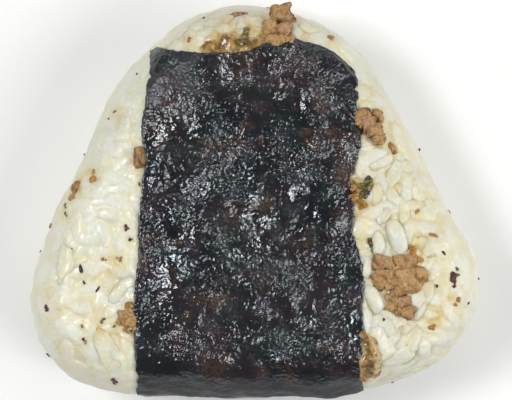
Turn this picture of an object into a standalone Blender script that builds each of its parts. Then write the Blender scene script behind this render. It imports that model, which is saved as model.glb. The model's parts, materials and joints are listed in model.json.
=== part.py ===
"""Onigiri: a pressed triangular rice block lying on its back, a moist nori strap folded round its base
edge, and lumps of browned mince that show in the rice. Apex towards +Y, face up, back on z = 0."""

import math

import bmesh
import bpy
from mathutils import Matrix, Vector, noise
from mathutils.geometry import delaunay_2d_cdt

MM = 0.001

# Rice block
THICKNESS = 29.0 * MM
EDGE_ROUND = 9.5 * MM  # how far in from the outline a face starts to turn down
EDGE_FULLNESS = 2.5  # superellipse power of that turn: 2 is a quarter circle, more is squarer
FACET = 3.0 * MM  # spacing of the mesh points
TURNS = 12  # steps from the front face round the side wall to the back
# The outline is a chain of tangent arcs, each (x, height above the base edge, radius)
LOWER_RIGHT = (23.1 * MM, 19.3 * MM, 17.0 * MM)
RIGHT_FLANK = (-10.5 * MM, 19.3 * MM, 47.0 * MM)
APEX = (-0.8 * MM, 43.9 * MM, 25.8 * MM)
LEFT_FLANK = (11.3 * MM, 30.8 * MM, 43.6 * MM)
LOWER_LEFT = (-22.7 * MM, 17.5 * MM, 17.5 * MM)
BASE = (11.1 * MM, 49.4 * MM, 49.4 * MM)
ARCS = (LOWER_RIGHT, RIGHT_FLANK, APEX, LEFT_FLANK, LOWER_LEFT, BASE)  # anticlockwise

# Unevenness of the pressed rice: two sizes of dent, which fade out towards the flat back
DENTS = ((14.0 * MM, 0.8 * MM), (7.0 * MM, 0.5 * MM))  # (spacing, depth)
DENT_FADE = 6.0 * MM

# Nori strap
NORI_THICKNESS = 0.5 * MM
NORI_PROUD = 0.3 * MM  # how far its outer side stands out of the rice, on the face and the base edge
NORI_BACK = 0.0 * MM  # height of its back side: flush with the rice, so that both rest on the same plane
NORI_LEFT = (-21.0 * MM, -18.1 * MM)  # its edges' x at the base edge and at the front end
NORI_RIGHT = (20.0 * MM, 17.0 * MM)
NORI_TOP = 61.2 * MM  # where the front panel ends, above the base edge
NORI_BACK_TOP = 57.0 * MM
NORI_RIM = 0.9 * MM  # least distance of the strap's ends from the block's outline
NORI_EDGE_WAVE = 0.5 * MM
NORI_EDGE_WAVE_LENGTH = 7.0 * MM
NORI_TOP_WAVE = 0.9 * MM
NORI_TOP_WAVE_TURN = 2.6  # radians of that wave from the strap's middle to either edge
NORI_TOP_WAVE_START = -0.2
NORI_CORNER = (0.75, 4.2 * MM)  # the front end's right corner: where it starts to fall, and how far
NORI_COLUMNS = 13
NORI_ROWS = 20

FIT_GAP = 0.3 * MM  # clearance between neighbouring solids
CUTTER_REACH = 2.0 * MM  # how far a cutter stands out of what it cuts

# Mince lumps: name, (x, height above the base edge) on the face, crumbs as
# (x offset, y offset, half width, half length, half depth, spin in degrees), and how deep they sit
MINCE = (
    ("mince_lower_right", (25.3, 20.9), ((0, 0, 4.3, 3.6, 2.4, 10), (1.0, -5.2, 2.4, 2.4, 2.0, 0)), 1.1),
    ("mince_right", (20.4, 47.4), ((0, 0, 2.3, 4.1, 2.2, 28),), 1.0),
    ("mince_apex", (4.1, 64.1), ((0, 0, 2.7, 2.8, 2.2, 0), (0.3, 3.5, 1.7, 1.7, 1.9, 0)), 1.0),
    ("mince_lower_left", (-22.2, 14.4), ((0, 0, 1.9, 3.2, 1.8, -15),), 1.0),
    ("mince_base_right", (20.9, 6.8), ((0, 0, 1.9, 4.2, 1.8, 6),), 1.0),
)
CRUMB_ROUGHNESS = ((1.6, 0.20), (4.0, 0.12))  # (bumps per radius, depth as a share of it)

# Finishes: colour and roughness
RICE_FINISH = (0.74, 0.72, 0.56), 0.45
NORI_FINISH = (0.030, 0.029, 0.033), 0.4
MINCE_FINISH = (0.41, 0.26, 0.11), 0.6


def clear_scene():
    for old in list(bpy.data.objects):
        bpy.data.objects.remove(old, do_unlink=True)


def material(name, colour, roughness):
    made = bpy.data.materials.new(name)
    made.use_nodes = True
    shader = made.node_tree.nodes["Principled BSDF"]
    shader.inputs["Base Color"].default_value = (*colour, 1.0)
    shader.inputs["Roughness"].default_value = roughness
    shader.inputs["Metallic"].default_value = 0.0
    return made


def add_object(name, bm, stand, finish=None):
    """A named object of this mesh on the stand; one with no finish is a cutter."""
    bmesh.ops.triangulate(bm, faces=bm.faces)
    bmesh.ops.recalc_face_normals(bm, faces=bm.faces)
    if bm.calc_volume(signed=True) < 0:
        bmesh.ops.reverse_faces(bm, faces=bm.faces)
    mesh = bpy.data.meshes.new(name)
    bm.to_mesh(mesh)
    bm.free()
    mesh.shade_smooth()
    made = bpy.data.objects.new(name, mesh)
    bpy.context.scene.collection.objects.link(made)
    made.parent = stand
    if finish:
        mesh.materials.append(finish)
    else:
        made.hide_render = True
        made.display_type = "WIRE"
    return made


def carve(piece, cutter, operation="DIFFERENCE"):
    """Cuts one object, or all those of a collection in one go, out of a piece."""
    cut = piece.modifiers.new(cutter.name, "BOOLEAN")
    cut.operation = operation
    cut.solver = "EXACT"
    if isinstance(cutter, bpy.types.Collection):
        cut.operand_type = "COLLECTION"
        cut.collection = cutter
    else:
        cut.object = cutter
    piece.modifiers.new(f"{cutter.name}_triangles", "TRIANGULATE")


# ---- the block's surface ----


def tangent_angle(arc, following):
    """Direction in which the straight side from one arc to the next faces."""
    along = Vector(following[:2]) - Vector(arc[:2])
    return math.atan2(along.y, along.x) - math.acos((arc[2] - following[2]) / along.length)


def outline(spacing):
    """(point, outward direction) pairs round the block's widest outline, anticlockwise."""
    pairs = []
    for before, arc, after in zip(ARCS[-1:] + ARCS, ARCS, ARCS[1:] + ARCS):
        start, end = tangent_angle(before, arc), tangent_angle(arc, after)
        end += math.tau if end < start else 0.0
        turn_steps = math.ceil(arc[2] * (end - start) / spacing)
        for step in range(turn_steps):
            angle = start + (end - start) * step / turn_steps
            facing = Vector((math.cos(angle), math.sin(angle)))
            pairs.append((Vector(arc[:2]) + facing * arc[2], facing))
        facing = Vector((math.cos(end), math.sin(end)))
        side_start = Vector(arc[:2]) + facing * arc[2]
        side_end = Vector(after[:2]) + facing * after[2]
        side_steps = math.ceil((side_end - side_start).length / spacing)
        pairs += [(side_start.lerp(side_end, step / side_steps), facing) for step in range(side_steps)]
    return pairs


OUTLINE = outline(FACET)
FINE_OUTLINE = outline(FACET / 5)


def inset(turn):
    """Distance in from the outline, for a turn from 0 at the front face to 1 at the back."""
    return EDGE_ROUND * (1 - math.sin(math.pi * turn) ** (2 / EDGE_FULLNESS))


def level(turn, grow=0.0, floor=0.0):
    """Height at that turn, on a block whose front and sides are grown by grow and whose back is at floor."""
    lean = math.cos(math.pi * turn)
    reach = THICKNESS / 2 + (grow if lean > 0 else -floor)
    return THICKNESS / 2 + math.copysign(abs(lean) ** (2 / EDGE_FULLNESS), lean) * reach


def dent(point):
    """How far the rice stands out or in at a point of the smooth block."""
    fade = min(1.0, max(0.0, point.z / DENT_FADE))
    return fade * sum(depth * noise.noise(point / spacing) for spacing, depth in DENTS)


def wall_point(edge, outward, turn, grow=0.0, floor=0.0):
    """The uneven block's surface at a turn, in from a point of the outline that faces outward."""
    plain = (edge - outward * inset(turn)).to_3d()
    lean = outward.to_3d() * math.sin(math.pi * turn)
    grown = plain + lean * grow
    plain.z = level(turn)
    grown.z = level(turn, grow, floor)
    lean.z = math.cos(math.pi * turn)
    return grown + lean * dent(plain)


def nearest_edge(x, y):
    """(distance in from the outline, outward direction) at a point inside it."""
    place = Vector((x, y))
    return min(((edge - place).dot(outward), tuple(outward)) for edge, outward in FINE_OUTLINE)


def base_height(x):
    """Height of the outline's base edge at x."""
    return min((abs(edge.x - x), edge.y) for edge, outward in FINE_OUTLINE if outward.y < 0)[1]


def face_point(x, y, side, grow=0.0, floor=0.0):
    """The uneven block's surface over (x, y), on its front (side 1) or its back (side -1)."""
    distance, direction = nearest_edge(x, y)
    if distance < EDGE_ROUND:
        outward = Vector(direction)
        way_out = min(1.0, 1 - distance / EDGE_ROUND)
        turn = math.asin(way_out ** (EDGE_FULLNESS / 2)) / math.pi
        edge = Vector((x, y)) + outward * inset(turn)
        return wall_point(edge, outward, turn if side > 0 else 1 - turn, grow, floor)
    if side < 0:
        return Vector((x, y, floor))
    return Vector((x, y, THICKNESS + grow + dent(Vector((x, y, THICKNESS)))))


def face_frame(x, y):
    """Frame on the front over (x, y): third axis out of the surface, second one up the block."""
    step = MM
    across = face_point(x + step, y, 1) - face_point(x - step, y, 1)
    along = face_point(x, y + step, 1) - face_point(x, y - step, 1)
    normal = across.cross(along).normalized()
    sideways = Vector((0.0, 1.0, 0.0)).cross(normal).normalized()
    axes = Matrix((sideways, normal.cross(sideways), normal)).transposed()
    return Matrix.Translation(face_point(x, y, 1)) @ axes.to_4x4()


# ---- rice block ----


def lattice(rim):
    """Points on a triangular lattice inside a rim, at least half a facet from it."""
    low = Vector((min(p.x for p in rim), min(p.y for p in rim)))
    high = Vector((max(p.x for p in rim), max(p.y for p in rim)))
    row_height = FACET * math.sqrt(3) / 2
    points = []
    for row in range(int((high.y - low.y) / row_height) + 1):
        for column in range(int((high.x - low.x) / FACET) + 1):
            x = low.x + (column + row % 2 / 2) * FACET
            y = low.y + row * row_height
            if nearest_edge(x, y)[0] > EDGE_ROUND + FACET / 2:
                points.append(Vector((x, y)))
    return points


def rice_block(stand, finish):
    bm = bmesh.new()
    rings = []
    for step in range(TURNS + 1):
        rings.append([bm.verts.new(wall_point(*pair, step / TURNS)) for pair in OUTLINE])
    count = len(OUTLINE)
    for upper, lower in zip(rings, rings[1:]):
        for i in range(count):
            bm.faces.new((upper[i], lower[i], lower[(i + 1) % count], upper[(i + 1) % count]))
    rim = [edge - outward * EDGE_ROUND for edge, outward in OUTLINE]
    inner = lattice(rim)
    rim_edges = [(i, (i + 1) % count) for i in range(count)]
    triangles = delaunay_2d_cdt(rim + inner, rim_edges, [], 1, 0.0)[2]
    for side, ring in ((1, rings[0]), (-1, rings[-1])):
        verts = ring + [bm.verts.new(face_point(p.x, p.y, side)) for p in inner]
        for corners in triangles:
            bm.faces.new([verts[i] for i in corners])
    return add_object("rice_block", bm, stand, finish)


# ---- nori strap ----


def nori_x(share, height, margin):
    """x of a place across the strap, for share from -1 at its left edge to 1 at its right."""
    rise = min(1.0, max(0.0, height / NORI_TOP))
    left = NORI_LEFT[0] + (NORI_LEFT[1] - NORI_LEFT[0]) * rise - margin
    right = NORI_RIGHT[0] + (NORI_RIGHT[1] - NORI_RIGHT[0]) * rise + margin
    wave = NORI_EDGE_WAVE * noise.noise(Vector((share * 3, height / NORI_EDGE_WAVE_LENGTH, 0)))
    return (left + right) / 2 + share * (right - left) / 2 + wave * abs(share)


def nori_end(share, side):
    """Height at which the strap ends, on the front (side 1) or the back (side -1)."""
    top = NORI_TOP if side > 0 else NORI_BACK_TOP
    wave = math.sin(NORI_TOP_WAVE_TURN * share + NORI_TOP_WAVE_START)
    top += NORI_TOP_WAVE * wave * (1 - share * share / 2)
    start, fall = NORI_CORNER
    top -= fall * max(0.0, (side * share - start) / (1 - start)) ** 2
    apex_x, apex_y, apex_radius = APEX
    across = nori_x(share, top, 0.0) - apex_x
    reach = apex_radius - NORI_RIM
    return min(top, apex_y + math.sqrt(reach * reach - across * across))


def nori_stations():
    """Steps along the strap from its front end to its back end, as (side, part of the way, share of it)."""
    panel = [step / NORI_ROWS for step in range(NORI_ROWS)]
    fold = [step / TURNS for step in range(TURNS + 1)]
    stations = [(1, "panel", share) for share in panel]
    stations += [(1 if turn <= 0.5 else -1, "fold", turn) for turn in fold]
    stations += [(-1, "panel", share) for share in reversed(panel)]
    return stations


def nori_point(share, station, grow, floor, margin):
    """A point of the strap's outer or inner side, as the grow and floor say."""
    side, part, along = station
    base = base_height(nori_x(share, 0.0, margin))
    if part == "fold":
        y = base + inset(along)
    else:
        end = nori_end(share, side) + margin
        y = end + (base + EDGE_ROUND - end) * along
    return face_point(nori_x(share, y, margin), y, side, grow, floor)


def bridge(bm, first, second):
    """Faces between two rows of points of equal length."""
    for i in range(len(first) - 1):
        bm.faces.new((first[i], first[i + 1], second[i + 1], second[i]))


def nori_strap(name, stand, outer, inner, margin=0.0, finish=None):
    """The strap between two (grow, floor) sides, wider than the real one by margin."""
    bm = bmesh.new()
    shares = [2 * column / NORI_COLUMNS - 1 for column in range(NORI_COLUMNS + 1)]
    skins = []
    for grow, floor in (outer, inner):
        rows = []
        for station in nori_stations():
            rows.append([bm.verts.new(nori_point(share, station, grow, floor, margin)) for share in shares])
        for upper, lower in zip(rows, rows[1:]):
            bridge(bm, upper, lower)
        skins.append(rows)
    for i in (0, -1):
        bridge(bm, skins[0][i], skins[1][i])
        bridge(bm, [row[i] for row in skins[0]], [row[i] for row in skins[1]])
    return add_object(name, bm, stand, finish)


# ---- mince ----


def crumb(radii, seed, grow):
    """A crumb of browned mince round its own centre, each way grown by grow."""
    bm = bmesh.new()
    bmesh.ops.create_icosphere(bm, subdivisions=2, radius=1.0)
    for vert in bm.verts:
        direction = vert.co.normalized()
        bulge = sum(depth * noise.noise(direction * count + seed) for count, depth in CRUMB_ROUGHNESS)
        place = Vector([d * r for d, r in zip(direction, radii)])
        vert.co = place * (1 + bulge) + direction * grow
    return bm


def mince_lump(name, place, crumbs, depth, stand, grow=0.0, finish=None):
    """One lump, its crumbs joined; their centres are depth below the rice's surface."""
    made = None
    frame = face_frame(place[0] * MM, place[1] * MM)
    for number, (dx, dy, *radii, spin) in enumerate(crumbs):
        bm = crumb([radius * MM for radius in radii], Vector((place[0], number * 7.0, dy)), grow)
        seat = Matrix.Translation(Vector((dx, dy, -depth)) * MM)
        bm.transform(frame @ seat @ Matrix.Rotation(math.radians(spin), 4, "Z"))
        if made:
            carve(made, add_object(f"{name}_crumb_{number}", bm, stand), "UNION")
        else:
            made = add_object(name, bm, stand, finish)
    return made


# ---- the whole ----


def centre_on_origin(stand, pieces):
    """Moves the stand so that the pieces' box is centred over the origin."""
    bpy.context.view_layer.update()
    graph = bpy.context.evaluated_depsgraph_get()
    corners = [
        piece.matrix_world @ Vector(corner)
        for piece in pieces
        for corner in piece.evaluated_get(graph).bound_box
    ]
    for axis in (0, 1):
        stand.location[axis] = -(min(c[axis] for c in corners) + max(c[axis] for c in corners)) / 2


def main():
    clear_scene()
    stand = bpy.data.objects.new("onigiri", None)
    bpy.context.scene.collection.objects.link(stand)
    rice = rice_block(stand, material("rice", *RICE_FINISH))

    inner_grow = NORI_PROUD - NORI_THICKNESS
    inner_floor = NORI_BACK + NORI_THICKNESS
    nori = nori_strap(
        "nori_strap",
        stand,
        (NORI_PROUD, NORI_BACK),
        (inner_grow, inner_floor),
        finish=material("nori", *NORI_FINISH),
    )
    groove = nori_strap(
        "nori_groove",
        stand,
        (NORI_PROUD + CUTTER_REACH, -CUTTER_REACH),
        (inner_grow - FIT_GAP, inner_floor + FIT_GAP),
        margin=FIT_GAP,
    )
    hollows = bpy.data.collections.new("hollows")
    hollows.objects.link(groove)

    pieces = [rice, nori]
    for name, place, crumbs, depth in MINCE:
        lump = mince_lump(name, place, crumbs, depth, stand, finish=material(name, *MINCE_FINISH))
        carve(lump, groove)
        pocket = mince_lump(f"{name}_pocket", place, crumbs, depth, stand, grow=FIT_GAP)
        hollows.objects.link(pocket)
        pieces.append(lump)
    carve(rice, hollows)
    centre_on_origin(stand, pieces)


main()
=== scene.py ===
"""Onigiri rice ball: fused rice, a moist nori strap and browned mince, built round its packed solids."""

import json
import math

import bmesh
import bpy
import numpy as np
from bpy.props import FloatProperty, FloatVectorProperty, IntProperty, PointerProperty
from mathutils import Matrix, Vector, noise
from mathutils.bvhtree import BVHTree

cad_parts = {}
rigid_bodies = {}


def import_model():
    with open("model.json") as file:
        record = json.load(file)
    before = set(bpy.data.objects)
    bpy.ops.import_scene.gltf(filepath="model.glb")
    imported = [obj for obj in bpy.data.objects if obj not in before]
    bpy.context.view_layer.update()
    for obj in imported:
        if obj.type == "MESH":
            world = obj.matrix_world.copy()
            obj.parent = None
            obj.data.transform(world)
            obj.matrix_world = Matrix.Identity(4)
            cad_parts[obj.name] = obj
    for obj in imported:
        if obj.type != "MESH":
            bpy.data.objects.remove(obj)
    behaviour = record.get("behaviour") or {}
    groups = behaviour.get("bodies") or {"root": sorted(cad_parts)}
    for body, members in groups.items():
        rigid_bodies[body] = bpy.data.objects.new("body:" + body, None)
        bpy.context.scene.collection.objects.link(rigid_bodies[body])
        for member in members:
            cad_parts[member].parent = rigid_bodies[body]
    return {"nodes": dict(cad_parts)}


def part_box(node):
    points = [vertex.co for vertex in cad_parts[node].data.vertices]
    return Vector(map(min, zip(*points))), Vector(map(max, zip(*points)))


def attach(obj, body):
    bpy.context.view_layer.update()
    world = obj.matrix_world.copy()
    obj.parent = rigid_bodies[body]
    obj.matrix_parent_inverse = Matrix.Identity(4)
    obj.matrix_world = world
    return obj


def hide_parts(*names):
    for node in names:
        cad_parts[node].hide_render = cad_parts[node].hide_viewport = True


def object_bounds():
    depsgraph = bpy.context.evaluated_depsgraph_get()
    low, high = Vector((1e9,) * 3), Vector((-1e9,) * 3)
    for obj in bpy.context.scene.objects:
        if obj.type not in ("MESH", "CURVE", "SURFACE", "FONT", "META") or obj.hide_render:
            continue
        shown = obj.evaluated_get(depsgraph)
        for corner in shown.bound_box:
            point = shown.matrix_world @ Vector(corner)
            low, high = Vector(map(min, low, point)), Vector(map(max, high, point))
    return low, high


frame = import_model()
CAD_BOX = [list(corner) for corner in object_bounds()]

bl_info = {
    "name": "Onigiri Rice Ball",
    "version": (1, 0, 0),
    "blender": (4, 5, 0),
    "location": "View3D > Sidebar > Onigiri",
    "description": "Dresses a packed rice ball with fused grains, a moist nori strap, mince and seasoning",
    "category": "Object",
}

MM = 0.001
LOW, HIGH = Vector(CAD_BOX[0]), Vector(CAD_BOX[1])
MIDDLE = (LOW + HIGH) / 2
RICE_LOW, RICE_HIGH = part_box("rice_block")
STRAP_LOW, STRAP_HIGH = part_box("nori_strap")
FACE = RICE_HIGH.z / MM
LUMPS = ("mince_lower_right", "mince_right", "mince_apex", "mince_lower_left", "mince_base_right")

# Places on the face, in millimetres from the origin: (across, up).
# Strap edges: (distance down the strap from its reference line, across).
STRAP_TOP_LINE = 28.5
STRAP_LEFT = (
    (0.0, -17.5), (3.0, -17.8), (6.8, -18.0), (7.1, -17.7), (7.5, -18.2), (11.5, -18.9), (15.3, -19.7),
    (18.5, -19.4), (21.4, -18.7), (24.5, -19.5), (32.7, -20.3), (38.8, -20.2), (43.0, -20.8),
    (53.6, -21.0), (61.8, -20.4), (66.0, -20.8), (82.0, -20.6), (96.0, -20.2), (120.0, -19.6), (160.0, -18.4),
)
STRAP_RIGHT = (
    (0.0, 14.8), (2.0, 15.4), (4.2, 16.5), (6.0, 17.2), (8.6, 17.9), (9.2, 17.3), (10.4, 17.9), (16.1, 17.9),
    (19.6, 18.4), (23.1, 17.6), (25.0, 16.6), (27.8, 17.3), (31.0, 17.6), (33.9, 17.1), (37.1, 18.3),
    (41.4, 19.1), (49.3, 19.0), (56.2, 19.6), (61.8, 18.6), (66.0, 19.2), (82.0, 19.4), (96.0, 19.0),
    (120.0, 18.4), (160.0, 17.2),
)
STRAP_TOP = (
    (-20.0, 26.9), (-17.8, 27.0), (-16.6, 26.7), (-15.5, 26.3), (-9.4, 25.8), (-3.0, 25.9), (0.3, 26.3),
    (3.6, 27.3), (6.2, 27.9), (9.0, 27.8), (11.5, 27.5), (13.6, 26.8), (15.2, 25.7), (16.4, 24.3), (18.0, 22.0),
)

# Grains with a place of their own, on the rice and sunk partly into it: (across, up, length, width, turn, lift).
LOOSE_GRAINS = (
    (21.6, -7.4, 4.8, 2.4, 94.0, 0.75),
    (24.9, -6.4, 6.4, 3.3, 112.0, 0.9),
    (19.7, -11.5, 4.2, 1.9, 84.0, 0.45),
    (20.9, -17.2, 5.4, 2.8, 116.0, 0.5),
)
PRESSED_GRAINS = (
    (22.9, -21.4, 5.8, 3.1, 128.0, 0.2),
    (20.6, -21.8, 4.4, 2.4, 60.0, 0.1),
    (29.9, -15.6, 5.2, 2.9, 96.0, 0.1),
    (28.4, -19.2, 5.0, 2.6, 60.0, 0.1),
    (28.0, -23.6, 5.8, 3.0, 76.0, -0.1),
    (24.6, -27.0, 7.4, 3.9, 12.0, 0.0),
    (30.6, -27.4, 6.8, 3.6, 34.0, -0.15),
    (27.2, -30.4, 6.4, 3.2, 10.0, -0.1),
    (-25.8, -26.0, 8.2, 4.0, 112.0, 0.3),
    (-22.9, -15.5, 7.0, 3.4, 40.0, 0.05),
    (-33.0, -11.0, 7.6, 3.6, 84.0, 0.05),
    (24.4, 4.6, 5.2, 2.6, 64.0, 0.2),
    (26.0, -1.6, 5.0, 2.6, 100.0, 0.2),
    (22.8, -2.2, 4.6, 2.3, 60.0, 0.25),
    (21.4, 1.2, 4.4, 2.3, 80.0, 0.2),
    (24.0, 0.8, 4.6, 2.4, 120.0, 0.2),
    (22.2, 6.8, 4.8, 2.4, 30.0, 0.15),
    (-6.4, 31.2, 5.8, 3.0, 20.0, 0.2),
    (0.6, 31.0, 5.4, 2.8, 140.0, 0.2),
    (-2.2, 30.6, 4.6, 2.4, 70.0, 0.2),
    (10.2, 30.0, 5.6, 3.0, 150.0, 0.15),
    (-13.6, 28.6, 6.0, 3.0, 38.0, 0.15),
)

# Large crumbs of each lump of mince: (across, up, width, length, turn, lift).
LARGE_CRUMBS = {
    "mince_lower_right": (
        (22.3, -10.6, 3.3, 2.3, 2.0, 0.25), (26.5, -10.7, 3.8, 2.4, -3.0, 0.2), (27.0, -13.7, 5.1, 4.4, 20.0, 0.35),
        (22.5, -13.0, 3.7, 2.4, -6.0, 0.05), (21.7, -14.7, 1.6, 1.7, 20.0, -0.1), (23.2, -14.8, 1.6, 1.4, 0.0, -0.15),
        (24.7, -15.2, 1.6, 2.1, 30.0, -0.05), (24.0, -18.0, 2.3, 2.8, -8.0, 0.05), (26.1, -17.4, 2.4, 1.9, 14.0, 0.15),
        (26.7, -19.4, 2.4, 2.1, 6.0, 0.2), (25.1, -12.2, 1.6, 1.9, 0.0, -0.1), (24.5, -11.0, 1.3, 2.0, 10.0, -0.2),
        (24.2, -13.3, 2.0, 2.2, 0.0, -0.1),
    ),
    "mince_right": (
        (19.2, 15.1, 2.8, 1.9, 4.0, 0.2), (21.2, 14.6, 2.3, 2.6, -15.0, 0.3), (19.9, 13.8, 2.4, 2.1, 10.0, 0.15),
        (21.2, 12.5, 2.4, 2.3, 15.0, 0.25), (21.9, 10.9, 1.9, 1.9, 0.0, 0.1), (18.4, 13.9, 1.6, 1.6, 0.0, 0.0),
    ),
    "mince_apex": (
        (4.7, 32.9, 3.7, 2.8, 10.0, 0.5), (2.8, 30.5, 2.6, 2.4, 0.0, 0.15), (5.2, 29.8, 2.6, 2.8, 20.0, 0.3),
        (3.8, 28.1, 3.1, 2.1, 0.0, 0.2), (6.2, 27.9, 1.7, 2.1, 0.0, 0.1), (2.1, 28.4, 1.7, 1.7, 30.0, 0.0),
        (6.6, 31.9, 1.6, 1.4, 0.0, 0.1),
    ),
    "mince_lower_left": (
        (-21.9, -20.5, 2.8, 3.4, 34.0, -0.25), (-23.3, -21.2, 1.7, 1.1, -12.0, -0.5), (-21.2, -22.6, 1.8, 1.5, 0.0, -0.45),
    ),
    "mince_base_right": (
        (19.8, -25.5, 1.9, 2.4, 20.0, 0.1), (20.7, -27.4, 1.4, 2.4, 0.0, 0.1), (19.8, -29.3, 1.9, 2.6, 0.0, 0.1),
        (19.1, -27.2, 1.4, 3.0, 0.0, 0.0),
    ),
}

# Small bits of mince beside the strap and on the flank: (across, up, width, length, turn, lift).
SMALL_BITS = (
    (-19.9, 7.5, 2.1, 3.5, 4.0, 0.25),
    (-31.2, 2.3, 2.0, 2.4, -24.0, 0.1),
    (-32.0, 0.4, 1.2, 1.5, 30.0, 0.0),
    (-2.8, 32.6, 3.2, 1.3, 8.0, 0.0),
    (18.9, -24.9, 2.0, 5.0, 8.0, 0.05),
    (19.3, -29.4, 1.8, 4.2, -4.0, 0.05),
    (24.3, 9.0, 1.2, 2.0, 30.0, 0.1),
)

# Seasoning on the face: (across, up, width, length, turn).
RED_FLECKS = (
    (-22.3, -4.7, 0.7, 0.8, 20.0), (-21.5, -6.8, 0.4, 0.7, 70.0), (-36.4, -18.7, 0.8, 1.2, 30.0),
    (-29.7, -24.2, 0.4, 0.6, 0.0), (-24.6, -31.6, 0.8, 1.0, 40.0), (34.7, -13.1, 0.7, 2.3, 20.0),
    (34.9, -14.6, 0.4, 0.9, 0.0), (31.9, -14.8, 0.4, 0.5, 60.0), (19.5, 1.6, 0.9, 1.2, 10.0),
)
BLACK_FLECKS = (
    (-30.2, -11.9, 0.65, 1.4, 14.0), (-29.7, -14.3, 0.4, 0.7, 30.0), (-27.3, -15.4, 0.35, 1.3, -36.0),
    (-8.9, 32.2, 0.5, 0.6, 0.0), (33.1, -9.1, 0.4, 1.1, 40.0), (37.6, -18.0, 0.5, 0.5, 0.0),
    (-20.6, 22.3, 0.4, 0.5, 0.0), (22.6, -20.7, 0.4, 0.6, 0.0), (-31.9, -8.4, 0.3, 0.4, 0.0),
)
AMBER_FLECKS = (
    (-23.6, -10.0, 0.7, 1.0, 60.0), (-26.2, -10.3, 0.6, 0.8, 30.0), (-11.4, 28.2, 0.7, 1.0, 10.0),
    (13.4, 28.6, 0.6, 1.1, 40.0), (24.0, 9.4, 0.8, 1.3, 30.0), (28.4, -1.8, 0.6, 0.9, 0.0),
    (35.5, -17.6, 1.0, 1.5, 5.0), (31.2, -22.0, 0.9, 1.3, -30.0), (-28.1, 4.4, 0.5, 2.0, -12.0),
    (31.4, -6.0, 0.25, 2.2, 88.0), (-30.0, -21.9, 0.4, 0.6, 0.0), (29.2, -10.4, 0.7, 1.5, 62.0),
    (27.9, -8.6, 0.8, 2.2, 10.0), (-29.4, -24.6, 0.5, 0.9, 50.0), (27.0, -8.2, 0.6, 1.4, 20.0),
)
OLIVE_FLECKS = (
    (-24.6, 15.9, 0.5, 0.7, 20.0), (-25.5, 14.3, 0.4, 0.5, 0.0), (-33.2, -0.9, 0.6, 1.0, 30.0),
    (-32.9, -2.3, 0.5, 0.9, 10.0), (-26.5, -20.8, 0.5, 0.9, -40.0), (-24.4, -21.8, 0.4, 0.6, 0.0),
    (35.5, -12.2, 0.6, 1.9, 24.0), (-20.1, 2.9, 0.5, 0.9, 0.0), (20.8, -7.9, 0.7, 1.9, 20.0),
    (21.0, -9.2, 0.6, 1.2, 60.0),
)
# Places where the sheet leans and shines: (across, up, radius, lean to the left).
SHINING_PLACES = (
    (-9.8, 16.4, 4.0, 0.8), (-3.9, 21.9, 4.0, 0.5), (-2.8, 12.9, 3.6, 0.9), (-16.5, 12.7, 3.0, 0.7),
    (-17.3, 6.6, 3.2, 0.8), (-9.8, 2.4, 4.0, 0.9), (-14.2, -0.3, 4.0, 0.9), (-12.1, -5.2, 5.0, 1.2),
    (-17.0, -13.8, 4.6, 1.1), (-14.0, -20.0, 3.6, 0.8), (12.4, 8.9, 3.6, -0.7), (13.6, -1.0, 4.2, -1.0),
    (13.2, -11.5, 4.4, -1.0), (7.1, -5.5, 3.0, -0.5), (14.1, -22.5, 3.4, -0.6), (-1.5, -9.0, 3.0, 0.4),
)
# Soft glossy beads along the strap's right edge: (across, up, width, length, turn).
AMBER_BEADS = (
    (17.6, 0.6, 2.2, 1.7, 10.0), (18.9, -0.7, 1.8, 1.4, 40.0), (24.0, 9.3, 1.0, 1.5, 30.0), (17.2, 2.2, 1.6, 1.3, 0.0),
    (13.4, 28.6, 0.9, 1.2, 20.0),
)
OLIVE_BEADS = (
    (20.0, 3.6, 1.5, 1.2, 30.0), (19.6, 2.2, 1.7, 1.3, -20.0), (18.5, 2.6, 2.2, 1.0, 10.0), (19.0, 1.0, 1.4, 1.6, 60.0),
    (-2.2, 27.6, 1.7, 1.1, -10.0), (-1.5, 29.4, 0.9, 1.8, 10.0), (20.4, -7.2, 1.3, 1.9, 20.0),
)

# Glossy onion sauce lying on the rice, each film from round spots: (across, up, radius).
SAUCE_FILMS = (
    ((-8.6, 26.6, 1.0), (-7.6, 27.0, 1.3), (-5.6, 27.6, 1.7), (-4.4, 28.3, 1.3), (-2.2, 27.4, 1.8), (-3.4, 26.6, 1.6), (-1.4, 28.9, 0.8),
     (-1.2, 30.0, 0.6), (0.4, 27.4, 1.2), (1.9, 27.8, 1.2), (-0.4, 26.6, 1.4), (-6.4, 26.4, 1.6)),
    ((18.2, 1.9, 1.5), (17.4, 0.3, 1.5), (19.3, 2.6, 1.0), (18.7, -0.5, 1.1), (17.0, 3.2, 1.2)),
    ((19.6, -25.4, 1.7), (20.2, -27.4, 1.9), (19.9, -29.4, 1.9), (19.1, -23.6, 1.1), (19.3, -31.0, 1.3)),
    ((-20.7, -23.4, 0.9), (-20.2, -22.2, 0.8), (-21.6, -22.6, 0.7)),
)

# Cooler, greyer places in the rice: (across, up, radius, strength).
COOL_PLACES = (
    (-26.0, 12.0, 9.0, 0.8), (-20.5, 22.0, 7.0, 0.8), (-34.0, -9.0, 7.0, 0.5), (-23.0, -15.0, 4.0, 0.5),
    (20.5, 22.0, 7.0, 0.8), (22.0, 6.0, 5.0, 0.5), (-31.0, -14.0, 5.0, 0.3), (-26.0, -27.0, 5.0, 0.5), (-9.0, 31.0, 4.0, 0.3), (-24.0, 3.0, 6.0, 0.4),
)

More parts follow.
